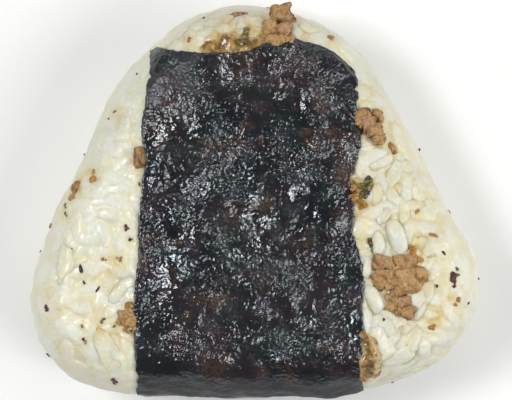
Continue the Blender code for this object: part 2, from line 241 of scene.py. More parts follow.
# Amber stains in the rice: (across, up, radius, strength).
STAINS = (
    (-3.0, 31.5, 13.0, 0.38), (28.0, 0.0, 8.0, 0.32), (31.0, -20.0, 7.0, 0.16),
    (-4.0, 28.4, 5.2, 1.0), (1.6, 28.4, 3.6, 0.9), (-10.5, 27.6, 3.0, 0.45), (4.0, 29.5, 5.5, 0.6),
    (25.0, -14.5, 7.0, 0.55), (28.4, -9.4, 3.2, 0.9), (20.4, 13.1, 4.6, 0.5), (18.2, -1.0, 2.4, 0.6),
    (19.4, 3.6, 2.6, 0.6), (-22.2, -21.6, 3.6, 0.7), (-26.4, -21.6, 2.8, 0.55), (-28.2, -19.8, 2.4, 0.35),
    (-33.0, -1.5, 2.4, 0.6), (-31.0, 2.4, 2.6, 0.45), (-28.2, 4.6, 1.8, 0.5), (-35.0, -17.5, 3.4, 0.3),
    (-28.6, -12.6, 2.2, 0.3), (-24.6, -11.4, 2.6, 0.35), (-24.8, -14.4, 2.0, 0.4), (35.2, -17.0, 2.4, 0.7),
    (31.4, -20.8, 2.6, 0.55), (30.4, -6.4, 3.0, 0.45), (19.6, -26.5, 3.0, 0.6), (12.8, 28.6, 2.8, 0.4),
    (-11.6, 28.6, 2.4, 0.4), (-19.9, 7.0, 2.8, 0.4), (-20.2, 2.6, 1.6, 0.35), (26.8, -22.2, 3.4, 0.3),
    (33.4, -12.6, 2.4, 0.35), (-25.2, 15.2, 2.0, 0.3), (22.0, 20.0, 3.0, 0.25), (27.6, 1.0, 3.0, 0.3),
)


# ---------------------------------------------------------------- sizes and colours

def length(name, text, default, least=0.0):
    return FloatProperty(name=name, description=text, default=default * MM, min=least * MM, soft_max=0.1,
                         precision=5, subtype="DISTANCE", unit="LENGTH")


def share(name, text, default, most=1.0):
    return FloatProperty(name=name, description=text, default=default, min=0.0, max=most, subtype="FACTOR")


def colour(name, text, default):
    return FloatVectorProperty(name=name, description=text, default=default, size=3, min=0.0, max=1.0,
                               subtype="COLOR")


class RiceSettings(bpy.types.PropertyGroup):
    """Sizes and colours of the rice."""
    grain_length: length("Grain Length", "Length of one cooked grain", 6.2)
    grain_width: length("Grain Width", "Width of one cooked grain", 3.1)
    grain_thickness: length("Grain Thickness", "Height of one pressed grain", 2.3)
    spacing: length("Grain Spacing", "Least distance between the middles of two grains", 2.5)
    sink: length("Grain Sink", "How far a grain's middle lies under the pressed surface", 1.05)
    apart_spacing: length("Separate Grain Spacing", "Least distance between two separate grains on top", 3.2)
    groove: length("Groove", "Depth of the crease between two fused grains", 0.2)
    core_depth: length("Core Depth", "How far the fused core lies under the pressed surface", 0.30)
    cell: length("Skin Cell", "Cell size at which the grains fuse into one skin", 0.25, 0.1)
    press: length("Press", "How far the tops of the grains may stand over the packed surface", 0.1)
    seed: IntProperty(name="Seed", description="Arrangement of the grains", default=11, min=0)
    cream: colour("Cream", "Colour of most of the rice", (0.70, 0.665, 0.475))
    milky: colour("Milky White", "Colour of the whiter grains", (0.74, 0.73, 0.62))
    cool: colour("Cool White", "Colour of the wet, translucent grains", (0.66, 0.70, 0.625))
    grey: colour("Pearl Grey", "Colour of the thick, watery patches", (0.60, 0.635, 0.545))
    amber: colour("Amber Stain", "Colour where the sauce has soaked in", (0.56, 0.40, 0.13))
    # Crease is painted shade where the rice lies deep between grains, and also a random warm tone in patches.
    crease: colour("Crease", "Colour of the creases between grains", (0.69, 0.63, 0.38))


class NoriSettings(bpy.types.PropertyGroup):
    """Sizes and colours of the nori strap."""
    thickness: length("Thickness", "Thickness of the moist sheet", 0.22)
    cell: length("Cell", "Spacing of the sheet's points on the face", 0.37, 0.1)
    drape: share("Drape", "How closely the sheet follows the grains under it", 0.75, 2.0)
    crinkle_height: length("Crinkle Height", "Height of the fine crinkles", 0.15)
    crinkle_size: length("Crinkle Size", "Distance between the fine crinkles", 1.15)
    ink: colour("Ink", "The darkest colour of the sheet", (0.006, 0.007, 0.010))
    plum: colour("Plum", "Purple tint of the sheet", (0.024, 0.015, 0.021))
    moss: colour("Moss", "Green tint of the sheet", (0.009, 0.014, 0.014))
    rust: colour("Rust", "Brown of the thin, wet patches", (0.095, 0.048, 0.024))


class MinceSettings(bpy.types.PropertyGroup):
    """Sizes and colours of the browned mince."""
    crumb: length("Crumb Size", "Size of one crumb", 1.5)
    spacing: length("Crumb Spacing", "Least distance between two crumbs", 1.15)
    seed: IntProperty(name="Seed", description="Arrangement of the crumbs", default=5, min=0)
    brown: colour("Brown", "Colour of the cooked mince", (0.42, 0.25, 0.105))
    golden: colour("Golden", "Colour of the lighter crumbs", (0.47, 0.29, 0.115))
    pink: colour("Pink Brown", "Colour of the lean crumbs", (0.44, 0.26, 0.15))
    # Dark is painted shade in the grooves, pits and under the crumbs, and also a random dark speck colour.
    dark: colour("Dark", "Colour of the grooves between crumbs", (0.075, 0.032, 0.010))


class SeasoningSettings(bpy.types.PropertyGroup):
    """Sizes and colours of the flecks, the beads and the onion sauce."""
    fleck_spacing: length("Fleck Spacing", "Least distance between flecks on the sides and the back", 17.0)
    seed: IntProperty(name="Seed", description="Arrangement of the flecks on the sides and the back", default=3, min=0)
    red: colour("Dark Red", "Colour of the dark red flecks", (0.14, 0.022, 0.026))
    black: colour("Black", "Colour of the black flecks", (0.035, 0.022, 0.016))
    amber: colour("Amber", "Colour of the amber flecks", (0.50, 0.235, 0.035))
    olive: colour("Olive", "Colour of the olive flecks", (0.20, 0.17, 0.045))
    sauce_thin: colour("Thin Sauce", "Colour of the onion sauce where it is thin", (0.60, 0.45, 0.20))
    sauce: colour("Sauce", "Colour of the onion sauce", (0.40, 0.235, 0.07))
    sauce_dark: colour("Dark Sauce", "Colour of the onion sauce where it is thick", (0.13, 0.075, 0.022))


class StageSettings(bpy.types.PropertyGroup):
    """Floor, light and camera."""
    camera_height: length("Camera Height", "Height of the camera over the floor", 524.8)
    lens: FloatProperty(name="Lens", description="Focal length of the camera, in millimetres", default=200.0, min=10.0)
    key_power: FloatProperty(name="Key Light", description="Power of the upper left light", default=1.6, min=0.0,
                             unit="POWER")
    fill_power: FloatProperty(name="Fill Light", description="Power of the right light", default=1.0, min=0.0,
                              unit="POWER")
    wall_power: FloatProperty(name="Side Lights", description="Power of each large light round the sides", default=1.0,
                              min=0.0, unit="POWER")
    air: share("Surrounding Light", "Brightness of the surrounding light", 0.10, 2.0)
    floor: colour("Floor", "Colour of the floor", (0.93, 0.93, 0.93))


# ---------------------------------------------------------------- meshes

def shown(name, mesh):
    made = bpy.data.objects.new(name, mesh)
    bpy.context.scene.collection.objects.link(made)
    return made


def put_away(*objects):
    for one in objects:
        mesh = one.data
        bpy.data.objects.remove(one)
        if mesh.users == 0:
            bpy.data.meshes.remove(mesh)


def mesh_of(name, places, faces):
    mesh = bpy.data.meshes.new(name)
    mesh.from_pydata([tuple(p) for p in places], [], [tuple(f) for f in faces])
    mesh.update()
    return mesh


def places_of(mesh):
    flat = np.empty(len(mesh.vertices) * 3, np.float32)
    mesh.vertices.foreach_get("co", flat)
    return flat.reshape(-1, 3).astype(np.float64)


def move_to(mesh, places):
    mesh.vertices.foreach_set("co", np.asarray(places, np.float32).ravel())
    mesh.update()


def normals_of(mesh):
    flat = np.empty(len(mesh.vertices) * 3, np.float32)
    mesh.vertices.foreach_get("normal", flat)
    return flat.reshape(-1, 3).astype(np.float64)


def edges_of(mesh):
    flat = np.empty(len(mesh.edges) * 2, np.int32)
    mesh.edges.foreach_get("vertices", flat)
    return flat.reshape(-1, 2)


def give(mesh, name, values):
    """A number for each point of a mesh, under a name that materials and trees read."""
    old = mesh.attributes.get(name)
    if old is not None:
        mesh.attributes.remove(old)
    layer = mesh.attributes.new(name, "FLOAT", "POINT")
    layer.data.foreach_set("value", np.asarray(values, np.float32))


def welded(name, *nodes):
    """A welded copy of packed solids."""
    made = bmesh.new()
    for node in nodes:
        made.from_mesh(frame["nodes"][node].data)
    bmesh.ops.remove_doubles(made, verts=made.verts, dist=0.002 * MM)
    bmesh.ops.recalc_face_normals(made, faces=made.faces)
    mesh = bpy.data.meshes.new(name)
    made.to_mesh(mesh)
    made.free()
    mesh.materials.clear()
    return mesh


def joined(name, *meshes):
    made = bmesh.new()
    for mesh in meshes:
        made.from_mesh(mesh)
    result = bpy.data.meshes.new(name)
    made.to_mesh(result)
    made.free()
    return result


def search(mesh):
    """A tree for rays and nearest points on a mesh."""
    faces = [tuple(p.vertices) for p in mesh.polygons]
    return BVHTree.FromPolygons([tuple(v.co) for v in mesh.vertices], faces)


def as_evaluated(one, name):
    graph = bpy.context.evaluated_depsgraph_get()
    graph.update()
    return bpy.data.meshes.new_from_object(one.evaluated_get(graph), preserve_all_data_layers=True, depsgraph=graph)


def fused(name, mesh, cell):
    """One closed skin round everything in a mesh, without its inner shells."""
    one = shown(name, mesh)
    remesh = one.modifiers.new("Fuse", "REMESH")
    remesh.mode = "VOXEL"
    remesh.voxel_size = cell
    remesh.adaptivity = 0.0
    skin = as_evaluated(one, name)
    put_away(one)
    return outer_shell(name, skin)


def outer_shell(name, mesh):
    """The largest connected part of a mesh."""
    pairs = edges_of(mesh)
    label = np.arange(len(mesh.vertices))
    while True:
        low = np.minimum(label[pairs[:, 0]], label[pairs[:, 1]])
        new = label.copy()
        np.minimum.at(new, pairs[:, 0], low)
        np.minimum.at(new, pairs[:, 1], low)
        new = new[new]
        if np.array_equal(new, label):
            break
        label = new
    kept = label == np.argmax(np.bincount(label))
    if kept.all():
        return mesh
    made = bmesh.new()
    made.from_mesh(mesh)
    made.verts.ensure_lookup_table()
    bmesh.ops.delete(made, geom=[made.verts[i] for i in np.nonzero(~kept)[0]], context="VERTS")
    made.to_mesh(mesh)
    made.free()
    mesh.update()
    return mesh


def relaxed(places, pairs, weight, rounds):
    """Points drawn towards their neighbours' middle, each by its own weight."""
    count = len(places)
    a, b = pairs[:, 0], pairs[:, 1]
    degree = np.bincount(a, minlength=count) + np.bincount(b, minlength=count)
    degree = np.maximum(degree, 1)[:, None]
    weight = np.broadcast_to(np.asarray(weight, float), (count,))[:, None]
    for _ in range(rounds):
        total = np.empty_like(places)
        for axis in range(3):
            total[:, axis] = (np.bincount(a, places[b, axis], minlength=count)
                              + np.bincount(b, places[a, axis], minlength=count))
        places = places + weight * (total / degree - places)
    return places


def heights(places, tree):
    """For each point, its height over a surface, with the way out of that surface."""
    height = np.empty(len(places))
    out = np.empty((len(places), 3))
    for i, place in enumerate(places):
        spot, normal, _, gap = tree.find_nearest(place)
        way = Vector(place) - spot
        side = 1.0 if way.dot(normal) >= 0.0 else -1.0
        height[i] = side * gap
        if gap > 0.02 * MM:
            normal = (way / gap) * side
        out[i] = normal
    return height, out


def soft_limit(height, limit, softness):
    """Heights that level off under a limit."""
    return limit - softness * np.logaddexp(0.0, (limit - height) / softness)


def thinned(name, mesh, most):
    """A mesh with at most so many triangles."""
    count = sum(len(p.vertices) - 2 for p in mesh.polygons)
    if count <= most:
        return mesh
    one = shown(name, mesh)
    fewer = one.modifiers.new("Thin", "DECIMATE")
    fewer.ratio = most / count
    result = as_evaluated(one, name)
    put_away(one)
    return result


def waves(places, size, offset=0.0, octaves=2):
    """Smooth noise from about -1 to 1 at each point."""
    shift = Vector((offset, offset * 0.7, -offset * 1.3))
    return np.array([noise.fractal(Vector(p) / size + shift, 0.9, 2.0, octaves) for p in places])


def smooth_step(value, low, high):
    t = np.clip((value - low) / (high - low), 0.0, 1.0)
    return t * t * (3.0 - 2.0 * t)


def piece(name, mesh, finish, slot, *nodes):
    """A finished piece: its material, its place in the packed model and the solids it stands for."""
    mesh.materials.clear()
    mesh.materials.append(finish)
    mesh.shade_smooth()
    mesh.name = name
    made = shown(name, mesh)
    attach(made, "root")
    if nodes:
        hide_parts(*nodes)
    return made


# ---------------------------------------------------------------- forms

def rounded_form(name, size, rings, sides, bend=0.0, square=2.0, uneven=0.0, seed=0.0):
    """A small closed form about the origin: a grain, a crumb or a fleck. Higher square makes it blockier."""
    half = [s / 2 for s in size]
    places, faces = [], []

    def curve(v):
        return math.copysign(abs(v) ** (2.0 / square), v)

    def at(lat, lon):
        x = curve(math.sin(lat))
        y = curve(math.cos(lat)) * curve(math.cos(lon))
        z = curve(math.cos(lat)) * curve(math.sin(lon))
        spread = 1.0 + uneven * noise.noise(Vector((x, y, z)) * 1.3 + Vector((seed, 0.0, -seed)))
        return (x * half[0] * spread, (y * half[1] + bend * half[1] * (x * x - 0.4)) * spread, z * half[2] * spread)

    places.append(at(-math.pi / 2, 0.0))
    for ring in range(1, rings):
        lat = -math.pi / 2 + math.pi * ring / rings
        for side in range(sides):
            places.append(at(lat, 2 * math.pi * side / sides))
    places.append(at(math.pi / 2, 0.0))
    last = len(places) - 1
    for side in range(sides):
        after = (side + 1) % sides
        faces.append((0, 1 + after, 1 + side))
        for ring in range(rings - 2):
            low, high = 1 + ring * sides, 1 + (ring + 1) * sides
            faces.append((low + side, low + after, high + after, high + side))
        top = 1 + (rings - 2) * sides
        faces.append((last, top + side, top + after))
    mesh = mesh_of(name, places, faces)
    outward(mesh)
    return mesh


def outward(mesh):
    made = bmesh.new()
    made.from_mesh(mesh)
    bmesh.ops.recalc_face_normals(made, faces=made.faces)
    if made.calc_volume(signed=True) < 0.0:
        bmesh.ops.reverse_faces(made, faces=made.faces)
    made.to_mesh(mesh)
    made.free()
    mesh.update()


def set_at(form, place, out, turn, tilt=0.0):
    """A copy of a form with its own z along the way out and its x turned from the model's x."""
    out = Vector(out).normalized()
    across = Vector((math.cos(turn), math.sin(turn), 0.0))
    across = (across - out * across.dot(out)).normalized()
    up = out.cross(across)
    turned = Matrix((across, up, out)).transposed() @ Matrix.Rotation(tilt, 3, "Y")
    copy = form.copy()
    copy.transform(Matrix.Translation(Vector(place)) @ turned.to_4x4())
    return copy


def on_face(tree, across, up):
    """The place on the shown face over (across, up), in millimetres, and the way out there."""
    start = Vector((across * MM, up * MM, 60 * MM))
    spot, normal, _, _ = tree.ray_cast(start, Vector((0, 0, -1)))
    if spot is None:
        spot, normal, _, _ = tree.find_nearest(Vector((across * MM, up * MM, FACE * 0.6 * MM)))
    return spot, normal


# ---------------------------------------------------------------- trees

def socket(tree, name, kind, way="INPUT", subtype=None):
    made = tree.interface.new_socket(name=name, in_out=way, socket_type=kind)
    if subtype:
        made.subtype = subtype
    return made


def scatter_tree():
    """Pieces laid on a skin: turned at random about the way out, sunk, tilted and sized within limits."""
    name = "Pieces On A Skin"
    if name in bpy.data.node_groups:
        return bpy.data.node_groups[name]
    tree = bpy.data.node_groups.new(name, "GeometryNodeTree")
    tree.is_modifier = True
    socket(tree, "Skin", "NodeSocketGeometry")
    socket(tree, "Piece", "NodeSocketObject")
    socket(tree, "Spacing", "NodeSocketFloat", subtype="DISTANCE")
    socket(tree, "Sink", "NodeSocketFloat", subtype="DISTANCE")
    socket(tree, "Sink Spread", "NodeSocketFloat", subtype="DISTANCE")
    socket(tree, "Tilt", "NodeSocketFloat", subtype="ANGLE")
    socket(tree, "Smallest", "NodeSocketFloat")
    socket(tree, "Largest", "NodeSocketFloat")
    socket(tree, "Seed", "NodeSocketInt")
    socket(tree, "Finish", "NodeSocketMaterial")
    socket(tree, "Pieces", "NodeSocketGeometry", "OUTPUT")
    add, link = tree.nodes.new, tree.links.new
    given = add("NodeGroupInput")
    result = add("NodeGroupOutput")

    room = add("GeometryNodeInputNamedAttribute")
    room.data_type = "FLOAT"
    room.inputs["Name"].default_value = "room"
    spots = add("GeometryNodeDistributePointsOnFaces")
    spots.distribute_method = "POISSON"
    density = add("ShaderNodeMath")
    density.operation = "POWER"
    density.inputs[1].default_value = -2.0
    thick = add("ShaderNodeMath")
    thick.operation = "MULTIPLY"
    thick.inputs[1].default_value = 6.0
    link(given.outputs["Skin"], spots.inputs["Mesh"])
    link(given.outputs["Spacing"], spots.inputs["Distance Min"])
    link(given.outputs["Spacing"], density.inputs[0])
    link(density.outputs[0], thick.inputs[0])
    link(thick.outputs[0], spots.inputs["Density Max"])
    link(room.outputs["Attribute"], spots.inputs["Density Factor"])
    link(given.outputs["Seed"], spots.inputs["Seed"])

    spread = add("FunctionNodeRandomValue")
    spread.data_type = "FLOAT"
    away = add("ShaderNodeMath")
    away.operation = "MULTIPLY"
    away.inputs[1].default_value = -1.0
    link(given.outputs["Sink Spread"], away.inputs[0])
    link(away.outputs[0], spread.inputs[2])
    link(given.outputs["Sink Spread"], spread.inputs[3])
    depth = add("ShaderNodeMath")
    depth.operation = "ADD"
    link(given.outputs["Sink"], depth.inputs[0])
    link(spread.outputs[1], depth.inputs[1])
    inward = add("ShaderNodeMath")
    inward.operation = "MULTIPLY"
    inward.inputs[1].default_value = -1.0
    link(depth.outputs[0], inward.inputs[0])
    shift = add("ShaderNodeVectorMath")
    shift.operation = "SCALE"
    link(spots.outputs["Normal"], shift.inputs[0])
    link(inward.outputs[0], shift.inputs["Scale"])
    sunk = add("GeometryNodeSetPosition")
    link(spots.outputs["Points"], sunk.inputs["Geometry"])
    link(shift.outputs[0], sunk.inputs["Offset"])

    low = add("ShaderNodeCombineXYZ")
    high = add("ShaderNodeCombineXYZ")
    back = add("ShaderNodeMath")
    back.operation = "MULTIPLY"
    back.inputs[1].default_value = -1.0
    link(given.outputs["Tilt"], back.inputs[0])
    for axis in ("X", "Y"):
        link(back.outputs[0], low.inputs[axis])
        link(given.outputs["Tilt"], high.inputs[axis])
    high.inputs["Z"].default_value = 2 * math.pi
    turn = add("FunctionNodeRandomValue")
    turn.data_type = "FLOAT_VECTOR"
    link(low.outputs[0], turn.inputs[0])
    link(high.outputs[0], turn.inputs[1])
    euler = add("FunctionNodeEulerToRotation")
    link(turn.outputs[0], euler.inputs[0])
    turned = add("FunctionNodeRotateRotation")
    turned.rotation_space = "LOCAL"
    link(spots.outputs["Rotation"], turned.inputs[0])
    link(euler.outputs[0], turned.inputs[1])

    smallest = add("ShaderNodeCombineXYZ")
    largest = add("ShaderNodeCombineXYZ")
    for axis in ("X", "Y", "Z"):
        link(given.outputs["Smallest"], smallest.inputs[axis])
        link(given.outputs["Largest"], largest.inputs[axis])
    size = add("FunctionNodeRandomValue")
    size.data_type = "FLOAT_VECTOR"
    link(smallest.outputs[0], size.inputs[0])
    link(largest.outputs[0], size.inputs[1])
    info = add("GeometryNodeObjectInfo")
    info.transform_space = "ORIGINAL"
    info.inputs["As Instance"].default_value = True
    link(given.outputs["Piece"], info.inputs["Object"])
    laid = add("GeometryNodeInstanceOnPoints")
    link(sunk.outputs[0], laid.inputs["Points"])
    link(info.outputs["Geometry"], laid.inputs["Instance"])
    link(turned.outputs[0], laid.inputs["Rotation"])
    link(size.outputs[0], laid.inputs["Scale"])

    tone = add("FunctionNodeRandomValue")
    tone.data_type = "FLOAT"
    tone.inputs[2].default_value = 0.0
    tone.inputs[3].default_value = 1.0
    for chance, step in ((spread, 1), (turn, 2), (size, 3), (tone, 4)):
        own = add("ShaderNodeMath")
        own.operation = "ADD"
        own.inputs[1].default_value = 17.0 * step
        link(given.outputs["Seed"], own.inputs[0])
        link(own.outputs[0], chance.inputs["Seed"])
    kept = add("GeometryNodeStoreNamedAttribute")
    kept.data_type = "FLOAT"
    kept.domain = "INSTANCE"
    kept.inputs["Name"].default_value = "tone"
    link(laid.outputs[0], kept.inputs["Geometry"])
    link(tone.outputs[1], kept.inputs["Value"])
    real = add("GeometryNodeRealizeInstances")
    link(kept.outputs[0], real.inputs[0])
    finish = add("GeometryNodeSetMaterial")
    link(real.outputs[0], finish.inputs["Geometry"])
    link(given.outputs["Finish"], finish.inputs["Material"])
    link(finish.outputs[0], result.inputs[0])
    return tree


def scattered(name, skin, form, finish, **inputs):
    """A plain mesh of one form scattered over a skin by the tree."""
    shape = shown(name + "_form", form)
    shape.hide_render = True
    under = shown(name, skin)
    layer = under.modifiers.new("Pieces", "NODES")
    tree = scatter_tree()
    layer.node_group = tree
    for item in tree.interface.items_tree:
        if item.in_out == "INPUT" and item.name in inputs:
            layer[item.identifier] = inputs[item.name]
        elif item.in_out == "INPUT" and item.name == "Piece":
            layer[item.identifier] = shape
        elif item.in_out == "INPUT" and item.name == "Finish":
            layer[item.identifier] = finish
    made = as_evaluated(under, name)
    under.modifiers.remove(layer)
    if not made.polygons:
        raise RuntimeError(f"no pieces were laid for {name}")
    bpy.data.objects.remove(under)
    put_away(shape)
    return made


# ---------------------------------------------------------------- materials

def colour_group(name, build, inputs, outputs):
    """A shader group with named inputs and outputs, built once."""
    if name in bpy.data.node_groups:
        return bpy.data.node_groups[name]
    tree = bpy.data.node_groups.new(name, "ShaderNodeTree")
    for label, kind, value in inputs:
        made = tree.interface.new_socket(name=label, in_out="INPUT", socket_type=kind)
        if value is not None:
            made.default_value = value
    for label, kind in outputs:
        tree.interface.new_socket(name=label, in_out="OUTPUT", socket_type=kind)
    build(tree, tree.nodes.new("NodeGroupInput"), tree.nodes.new("NodeGroupOutput"))
    return tree


def patches_group():
    """Soft patches: a mask from 0 to 1 with its own size, share and softness."""
    def build(tree, given, result):
        place = tree.nodes.new("ShaderNodeTexCoord")
        shift = tree.nodes.new("ShaderNodeVectorMath")
        shift.operation = "ADD"
        texture = tree.nodes.new("ShaderNodeTexNoise")
        texture.inputs["Detail"].default_value = 3.0
        texture.inputs["Roughness"].default_value = 0.55
        texture.inputs["Distortion"].default_value = 0.4
        half = tree.nodes.new("ShaderNodeMath")
        half.operation = "MULTIPLY"
        half.inputs[1].default_value = 0.5
        low = tree.nodes.new("ShaderNodeMath")
        low.operation = "SUBTRACT"
        high = tree.nodes.new("ShaderNodeMath")
        high.operation = "ADD"
        spread = tree.nodes.new("ShaderNodeMapRange")
        spread.interpolation_type = "SMOOTHSTEP"
        link = tree.links.new
        link(place.outputs["Object"], shift.inputs[0])
        link(given.outputs["Offset"], shift.inputs[1])
        link(shift.outputs[0], texture.inputs["Vector"])
        link(given.outputs["Scale"], texture.inputs["Scale"])
        link(given.outputs["Softness"], half.inputs[0])
        link(given.outputs["Level"], low.inputs[0])
        link(half.outputs[0], low.inputs[1])
        link(given.outputs["Level"], high.inputs[0])
        link(half.outputs[0], high.inputs[1])
        link(texture.outputs["Fac"], spread.inputs["Value"])
        link(low.outputs[0], spread.inputs["From Min"])
        link(high.outputs[0], spread.inputs["From Max"])
        link(spread.outputs[0], result.inputs["Mask"])
    return colour_group("Soft Patches", build,
                        (("Scale", "NodeSocketFloat", 100.0), ("Level", "NodeSocketFloat", 0.5),
                         ("Softness", "NodeSocketFloat", 0.2), ("Offset", "NodeSocketVector", None)),
                        (("Mask", "NodeSocketFloat"),))


def grain_group():
    """Fine relief of two sizes, as a height."""
    def build(tree, given, result):
        place = tree.nodes.new("ShaderNodeTexCoord")
        broad = tree.nodes.new("ShaderNodeTexNoise")
        broad.inputs["Detail"].default_value = 0.0
        fine = tree.nodes.new("ShaderNodeTexNoise")
        fine.inputs["Detail"].default_value = 1.0
        fine.inputs["Roughness"].default_value = 0.6
        mix = tree.nodes.new("ShaderNodeMix")
        link = tree.links.new
        for texture, label in ((broad, "Broad Scale"), (fine, "Fine Scale")):
            link(place.outputs["Object"], texture.inputs["Vector"])
            link(given.outputs[label], texture.inputs["Scale"])
        link(given.outputs["Fine Share"], mix.inputs["Factor"])
        link(broad.outputs["Fac"], mix.inputs[2])
        link(fine.outputs["Fac"], mix.inputs[3])
        link(mix.outputs[0], result.inputs["Height"])
    return colour_group("Fine Relief", build,
                        (("Broad Scale", "NodeSocketFloat", 500.0), ("Fine Scale", "NodeSocketFloat", 2500.0),
                         ("Fine Share", "NodeSocketFloat", 0.4)),
                        (("Height", "NodeSocketFloat"),))


class Finish:
    """A material being put together."""

    def __init__(self, name, **settings):
        self.material = bpy.data.materials.new(name)
        self.material.use_nodes = True
        self.tree = self.material.node_tree
        self.tree.nodes.clear()
        self.shader = self.node("ShaderNodeBsdfPrincipled")
        self.output = self.node("ShaderNodeOutputMaterial")
        self.link(self.shader.outputs[0], self.output.inputs["Surface"])
        for label, value in settings.items():
            self.shader.inputs[label.replace("_", " ")].default_value = value

    def node(self, kind, **settings):
        made = self.tree.nodes.new(kind)
        for label, value in settings.items():
            setattr(made, label, value)
        return made

    def link(self, start, end):
        self.tree.links.new(start, end)

    def group(self, tree, **values):
        made = self.node("ShaderNodeGroup", node_tree=tree)
        for label, value in values.items():
            made.inputs[label.replace("_", " ")].default_value = value
        return made

    def patches(self, scale, level, softness, offset):
        return self.group(patches_group(), Scale=scale, Level=level, Softness=softness,
                          Offset=(offset, offset * 0.6, -offset)).outputs["Mask"]

    def number(self, name):
        return self.node("ShaderNodeAttribute", attribute_name=name).outputs["Fac"]

    def math(self, operation, a, b=None, clamp=False):
        made = self.node("ShaderNodeMath", operation=operation, use_clamp=clamp)
        for place, value in enumerate((a, b)):
            if value is None:
                continue
            if hasattr(value, "is_output"):
                self.link(value, made.inputs[place])
            else:
                made.inputs[place].default_value = value
        return made.outputs[0]

    def spread(self, value, low, high, first=0.0, last=1.0):
        made = self.node("ShaderNodeMapRange", interpolation_type="SMOOTHSTEP")
        self.link(value, made.inputs["Value"])
        for label, number in (("From Min", low), ("From Max", high), ("To Min", first), ("To Max", last)):
            made.inputs[label].default_value = number
        return made.outputs[0]

    def mix(self, factor, a, b, kind="MIX"):
        made = self.node("ShaderNodeMix", data_type="RGBA", blend_type=kind)
        for place, value in ((0, factor), (6, a), (7, b)):
            if hasattr(value, "is_output"):
                self.link(value, made.inputs[place])
            elif place == 0:
                made.inputs[place].default_value = value
            else:
                made.inputs[place].default_value = (*value, 1.0)
        return made.outputs[2]

    def bump(self, height, strength, distance, onto=None):
        made = self.node("ShaderNodeBump")
        made.inputs["Strength"].default_value = strength
        made.inputs["Distance"].default_value = distance
        self.link(height, made.inputs["Height"])
        if onto is not None:
            self.link(onto, made.inputs["Normal"])
        return made.outputs[0]

    def feed(self, **sockets):
        for label, value in sockets.items():
            self.link(value, self.shader.inputs[label.replace("_", " ")])
        return self.material


def rice_finish(looks, name):
    """Wet cooked rice: cream and milky patches, cool translucent grains, amber stains that gather in the creases, and
    painted shade there as a darker, warmer crease colour.
    """
    made = Finish(name, IOR=1.45, Subsurface_Weight=0.75, Subsurface_Scale=1.0 * MM,
                  Subsurface_Radius=(1.2, 1.0, 0.7))
    made.shader.subsurface_method = "BURLEY"
    tone, depth, stain, crisp = (made.number(n) for n in ("tone", "depth", "stain", "crisp"))
    white = made.patches(260.0, 0.5, 0.16, 1.3)
    body = made.mix(white, looks.cream, looks.milky)
    pale = made.math("MULTIPLY", made.spread(tone, 0.0, 0.35, 1.0, 0.0), 0.7)
    body = made.mix(pale, body, looks.milky)
    cool = made.math("MULTIPLY", made.spread(tone, 0.6, 0.9), made.math("ADD", made.math("MULTIPLY", crisp, 0.6), 0.25))
    body = made.mix(cool, body, looks.cool)
    green = made.math("MULTIPLY", made.patches(95.0, 0.58, 0.16, 7.7), 0.45)
    body = made.mix(green, body, looks.cool)
    body = made.mix(made.math("MULTIPLY", made.number("coolness"), 0.75), body, looks.grey)
    level = made.number("level")
    speck = made.math("MULTIPLY", made.math("MULTIPLY", made.patches(1500.0, 0.60, 0.10, 3.3), 0.5), level)
    body = made.mix(speck, body, (0.86, 0.86, 0.78))
    warm = made.math("MULTIPLY", made.patches(330.0, 0.57, 0.12, 12.0), 0.42)
    body = made.mix(warm, body, looks.crease)
    # Painted shade: the darker, warmer crease colour where the rice lies deep under the pressed surface or along grain
    # borders.
    painted_crease_shade = made.math("MULTIPLY", made.spread(depth, 0.05, 0.6), made.patches(160.0, 0.47, 0.22, 4.1))
    body = made.mix(made.math("MULTIPLY", painted_crease_shade, 0.8), body, looks.crease)
    soak = made.math("MULTIPLY", stain, made.spread(made.patches(480.0, 0.48, 0.2, 2.2), 0.0, 1.0, 0.4, 1.0))
    soak = made.math("MULTIPLY", soak, made.spread(depth, -0.05, 0.4, 0.5, 1.25), True)
    body = made.mix(soak, body, looks.amber)
    relief = made.group(grain_group(), Broad_Scale=820.0, Fine_Scale=2400.0, Fine_Share=0.4).outputs[0]
    relief = made.math("MULTIPLY", relief, made.spread(level, 0.1, 1.0))
    rough = made.math("MULTIPLY", made.spread(made.patches(1000.0, 0.5, 0.2, 9.0), 0.0, 1.0, -0.20, 0.06), level)
    rough = made.math("ADD", rough, 0.42)
    return made.feed(Base_Color=body, Roughness=rough, Normal=made.bump(relief, 0.6, 0.15 * MM))


